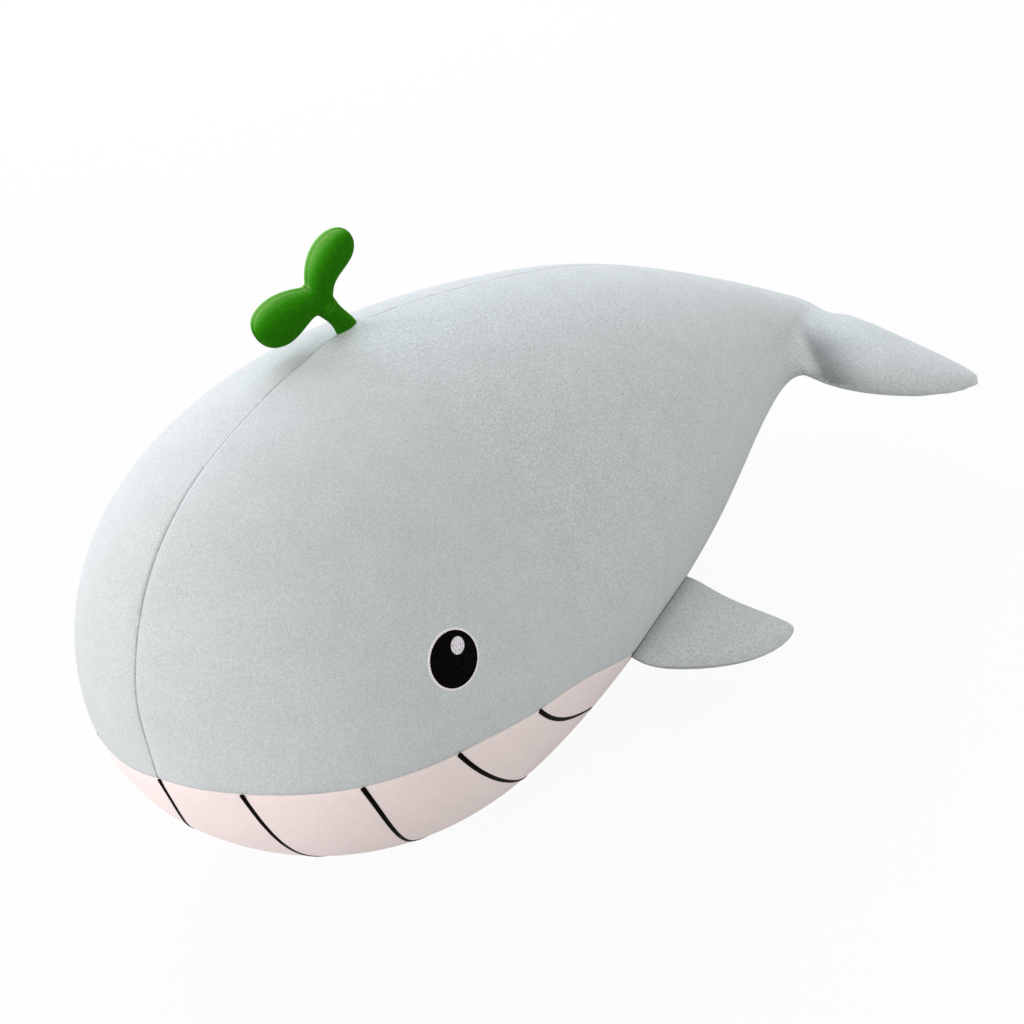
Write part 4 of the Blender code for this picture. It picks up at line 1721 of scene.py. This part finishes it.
    def part_of(
        self, skin: bpy.types.Object, name: str, cuts: Sequence[tuple[Callable[[np.ndarray], np.ndarray], int]]
    ) -> bpy.types.Object:
        """Cuts one cover out of the skin, closes it and sinks its seams.

        Args:
            skin: The whole skin.
            name: The new piece's name.
            cuts: What is 0 along each cut, and which side stays.

        Returns:
            The closed cover.
        """
        bm = bmesh.new()
        bm.from_mesh(skin.data)
        for value, keep in cuts:
            points = np.array([vertex.co for vertex in bm.verts])
            slope = self.steepest(value, points)
            bent = value(points)
            for vertex, place, now in zip(bm.verts, bent, points @ slope):
                vertex.co += Vector(slope) * (place - now)
            BodyCovers.halve(bm, Vector(slope) * keep)
            points = np.array([vertex.co for vertex in bm.verts])
            straight = points.copy()
            for _ in range(6):
                straight += np.outer(points @ slope - value(straight), slope)
            for vertex, place in zip(bm.verts, straight):
                vertex.co = place
        piece = add_piece(name, bm)
        self.sink_seams(piece)
        return piece

    @staticmethod
    def steepest(value: Callable[[np.ndarray], np.ndarray], points: np.ndarray) -> np.ndarray:
        """The direction in which a value grows, taken where it is 0."""
        here = value(points)
        near = np.argsort(np.abs(here))[:40]
        gradient = np.array([(value(points[near] + 0.0002 * axis) - here[near]).mean() for axis in np.eye(3)])
        return gradient / np.linalg.norm(gradient)

    def sink_seams(self, piece: bpy.types.Object) -> None:
        """Presses a fine line along the leaves' edges and across the stem's top, and keeps the distance to it.

        Args:
            piece: One of the sprout's covers.
        """
        points, normals = points_of(piece), normals_of(piece)
        back, up, out = self.plane_of(points)
        flat = np.abs(normals @ np.array(self.square))
        edge = np.where(flat < 0.8, np.abs(out - self.seam_aside), FAR_FROM_SEAM)
        sewn = np.abs(self.under_top(points))
        push(piece, -self.edge_depth * bell(edge, self.edge_width) - self.sewn_depth * bell(sewn, self.sewn_width))
        store(piece, SEAM_ATTRIBUTE, np.minimum(edge, self.sewn_shade_from + 1.5 * sewn))

    @staticmethod
    def finish(piece: bpy.types.Object, body: str, parent: str, start: Vector, end: Vector) -> None:
        """Dresses a piece and hides the frame's parts that it replaces.

        Args:
            piece: The piece.
            body: The body that it belongs to.
            parent: The body that carries that one. Not used.
            start: Where the bend begins. Not used.
            end: Where it ends. Not used.
        """
        dress(piece, GREEN_VELOUR)
        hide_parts(*(f"{body}_{part}" for part in SPROUT_PARTS))
        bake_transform(piece)
        report(piece)


# ---------------------------------------------------------------------------- the studio


@dataclass
class Studio:
    """A pale floor, soft light from the whale's right and above, and the camera."""

    azimuth: float = 40.379
    elevation: float = 30.038
    roll: float = -9.733
    camera_place: tuple[float, float, float] = (0.56137, -0.67342, 0.59834)
    focal_pixels: float = 1908.0
    image_pixels: float = 1024.0
    sensor: float = 36.0
    sky: float = 0.83
    sky_colour: tuple[float, float, float, float] = (1.0, 0.965, 0.94, 1.0)
    lamp_size: float = 1.5
    lamp_target: Vector = field(default_factory=lambda: Vector((0, 0, 0.1)))
    floor_size: float = 12.0
    floor_paint: tuple[float, float, float, float] = (0.63, 0.63, 0.63, 1)
    # How much of the floor's colour is plain white for the camera. The rest keeps the shadow.
    floor_glow: float = 0.94

    def build(self) -> None:
        """Makes the camera, the world, the lamps and the floor."""
        self.add_camera()
        self.add_world()
        self.add_lamp("front_lamp", (-1.2, -2.0, 0.8), 26.5, (1.0, 0.91, 0.92))
        self.add_lamp("rear_lamp", (-1.4, 1.2, 1.5), 33.5, (0.84, 0.87, 1.0))
        self.add_floor()

    def add_camera(self) -> None:
        """Places the camera."""
        a, e, r = (math.radians(v) for v in (self.azimuth, self.elevation, self.roll))
        back = Vector((math.sin(a) * math.cos(e), -math.cos(a) * math.cos(e), math.sin(e)))
        right = Vector((math.cos(a), math.sin(a), 0))
        up = back.cross(right)
        turned_right = right * math.cos(r) + up * math.sin(r)
        turned_up = up * math.cos(r) - right * math.sin(r)
        data = bpy.data.cameras.new("camera")
        data.sensor_width = self.sensor
        data.lens = self.sensor * self.focal_pixels / self.image_pixels
        camera = bpy.data.objects.new("camera", data)
        matrix = Matrix((turned_right, turned_up, back)).transposed().to_4x4()
        matrix.translation = self.camera_place
        camera.matrix_world = matrix
        bpy.context.scene.collection.objects.link(camera)
        bpy.context.scene.camera = camera

    def add_world(self) -> None:
        """Lights the scene evenly, and shows white to the camera."""
        world = bpy.data.worlds.new("studio")
        world.use_nodes = True
        bpy.context.scene.world = world
        tree = world.node_tree
        even = tree.nodes["Background"]
        even.inputs["Color"].default_value = self.sky_colour
        even.inputs["Strength"].default_value = self.sky
        white = tree.nodes.new("ShaderNodeBackground")
        white.inputs["Color"].default_value = (1, 1, 1, 1)
        self.show_camera(tree, even.outputs["Background"], white.outputs["Background"], 1.0, "World Output")

    def show_camera(
        self,
        tree: bpy.types.NodeTree,
        plain: bpy.types.NodeSocket,
        white: bpy.types.NodeSocket,
        share: float,
        output: str,
    ) -> None:
        """Mixes white into a shader, for the camera alone.

        Args:
            tree: The material's or the world's nodes.
            plain: The shader that everything else sees.
            white: The white that the camera sees.
            share: How much white it sees.
            output: The name of the tree's output node.
        """
        part, mix = tree.nodes.new("ShaderNodeMath"), tree.nodes.new("ShaderNodeMixShader")
        part.operation = "MULTIPLY"
        part.inputs[1].default_value = share
        for source, target in (
            (self.seen_by_camera(tree), part.inputs[0]),
            (part.outputs["Value"], mix.inputs["Fac"]),
            (plain, mix.inputs[1]),
            (white, mix.inputs[2]),
            (mix.outputs["Shader"], tree.nodes[output].inputs["Surface"]),
        ):
            tree.links.new(source, target)

    @staticmethod
    def seen_by_camera(tree: bpy.types.NodeTree) -> bpy.types.NodeSocket:
        """A value of 1 for what the camera sees straight or by a reflection or through glass.

        Args:
            tree: The material's or the world's nodes.

        Returns:
            The value's socket.
        """
        path = tree.nodes.new("ShaderNodeLightPath")
        total = path.outputs["Is Camera Ray"]
        for kind in ("Is Glossy Ray", "Is Transmission Ray"):
            add = tree.nodes.new("ShaderNodeMath")
            add.operation = "MAXIMUM"
            tree.links.new(total, add.inputs[0])
            tree.links.new(path.outputs[kind], add.inputs[1])
            total = add.outputs["Value"]
        return total

    def add_lamp(self, name: str, place: Sequence[float], power: float, colour: Sequence[float]) -> None:
        """Adds a wide square lamp that faces the whale.

        Args:
            name: Its name.
            place: Where it hangs.
            power: Its power in watts.
            colour: Its light's red, green and blue, 1 at most.
        """
        data = bpy.data.lights.new(name, "AREA")
        data.shape = "SQUARE"
        data.size = self.lamp_size
        data.energy = power
        data.color = colour
        lamp = bpy.data.objects.new(name, data)
        lamp.location = place
        lamp.rotation_mode = "QUATERNION"
        lamp.rotation_quaternion = (self.lamp_target - Vector(place)).to_track_quat("-Z", "Y")
        bpy.context.scene.collection.objects.link(lamp)

    def add_floor(self) -> None:
        """Adds a white floor that keeps a soft shadow."""
        bm = bmesh.new()
        bmesh.ops.create_grid(bm, x_segments=1, y_segments=1, size=self.floor_size / 2)
        floor = add_piece("floor", bm)
        made = bpy.data.materials.new("floor")
        made.use_nodes = True
        tree = made.node_tree
        paint = tree.nodes["Principled BSDF"]
        paint.inputs["Base Color"].default_value = self.floor_paint
        paint.inputs["Roughness"].default_value = 0.9
        paint.inputs["Specular IOR Level"].default_value = 0.0
        glow = tree.nodes.new("ShaderNodeEmission")
        self.show_camera(tree, paint.outputs["BSDF"], glow.outputs["Emission"], self.floor_glow, "Material Output")
        floor.data.materials.append(made)


def main() -> None:
    """Builds the whale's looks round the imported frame."""
    logging.basicConfig(level=logging.INFO, format="%(name)s %(message)s")
    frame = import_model()
    joints = frame["joints"]
    covers = BodyCovers(joints)
    covers.build()
    for side in Side:
        Flipper(side, joints, covers.surface).build()
        Eye(covers.surface, side=side).build()
    for number, stops in enumerate(THROAT_LINE_SHARES):
        for side in Side if number else (Side.LEFT,):
            shares = FIRST_RIGHT_LINE_SHARES if (side, number) == (Side.RIGHT, 1) else stops
            route = [on_whale(along, side.value * across, height) for along, across, height in shares]
            route[0] = covers.on_belly_seam(route[0])
            node = f"throat_line_{side.word}_{number}" if number else "throat_line_centre"
            ThroatLine(covers.surface, node=node, route=route).build()
    Sprout(joints).build()
    Studio().build()
    bpy.context.scene.view_settings.view_transform = "Standard"


if __name__ == "__main__":
    main()
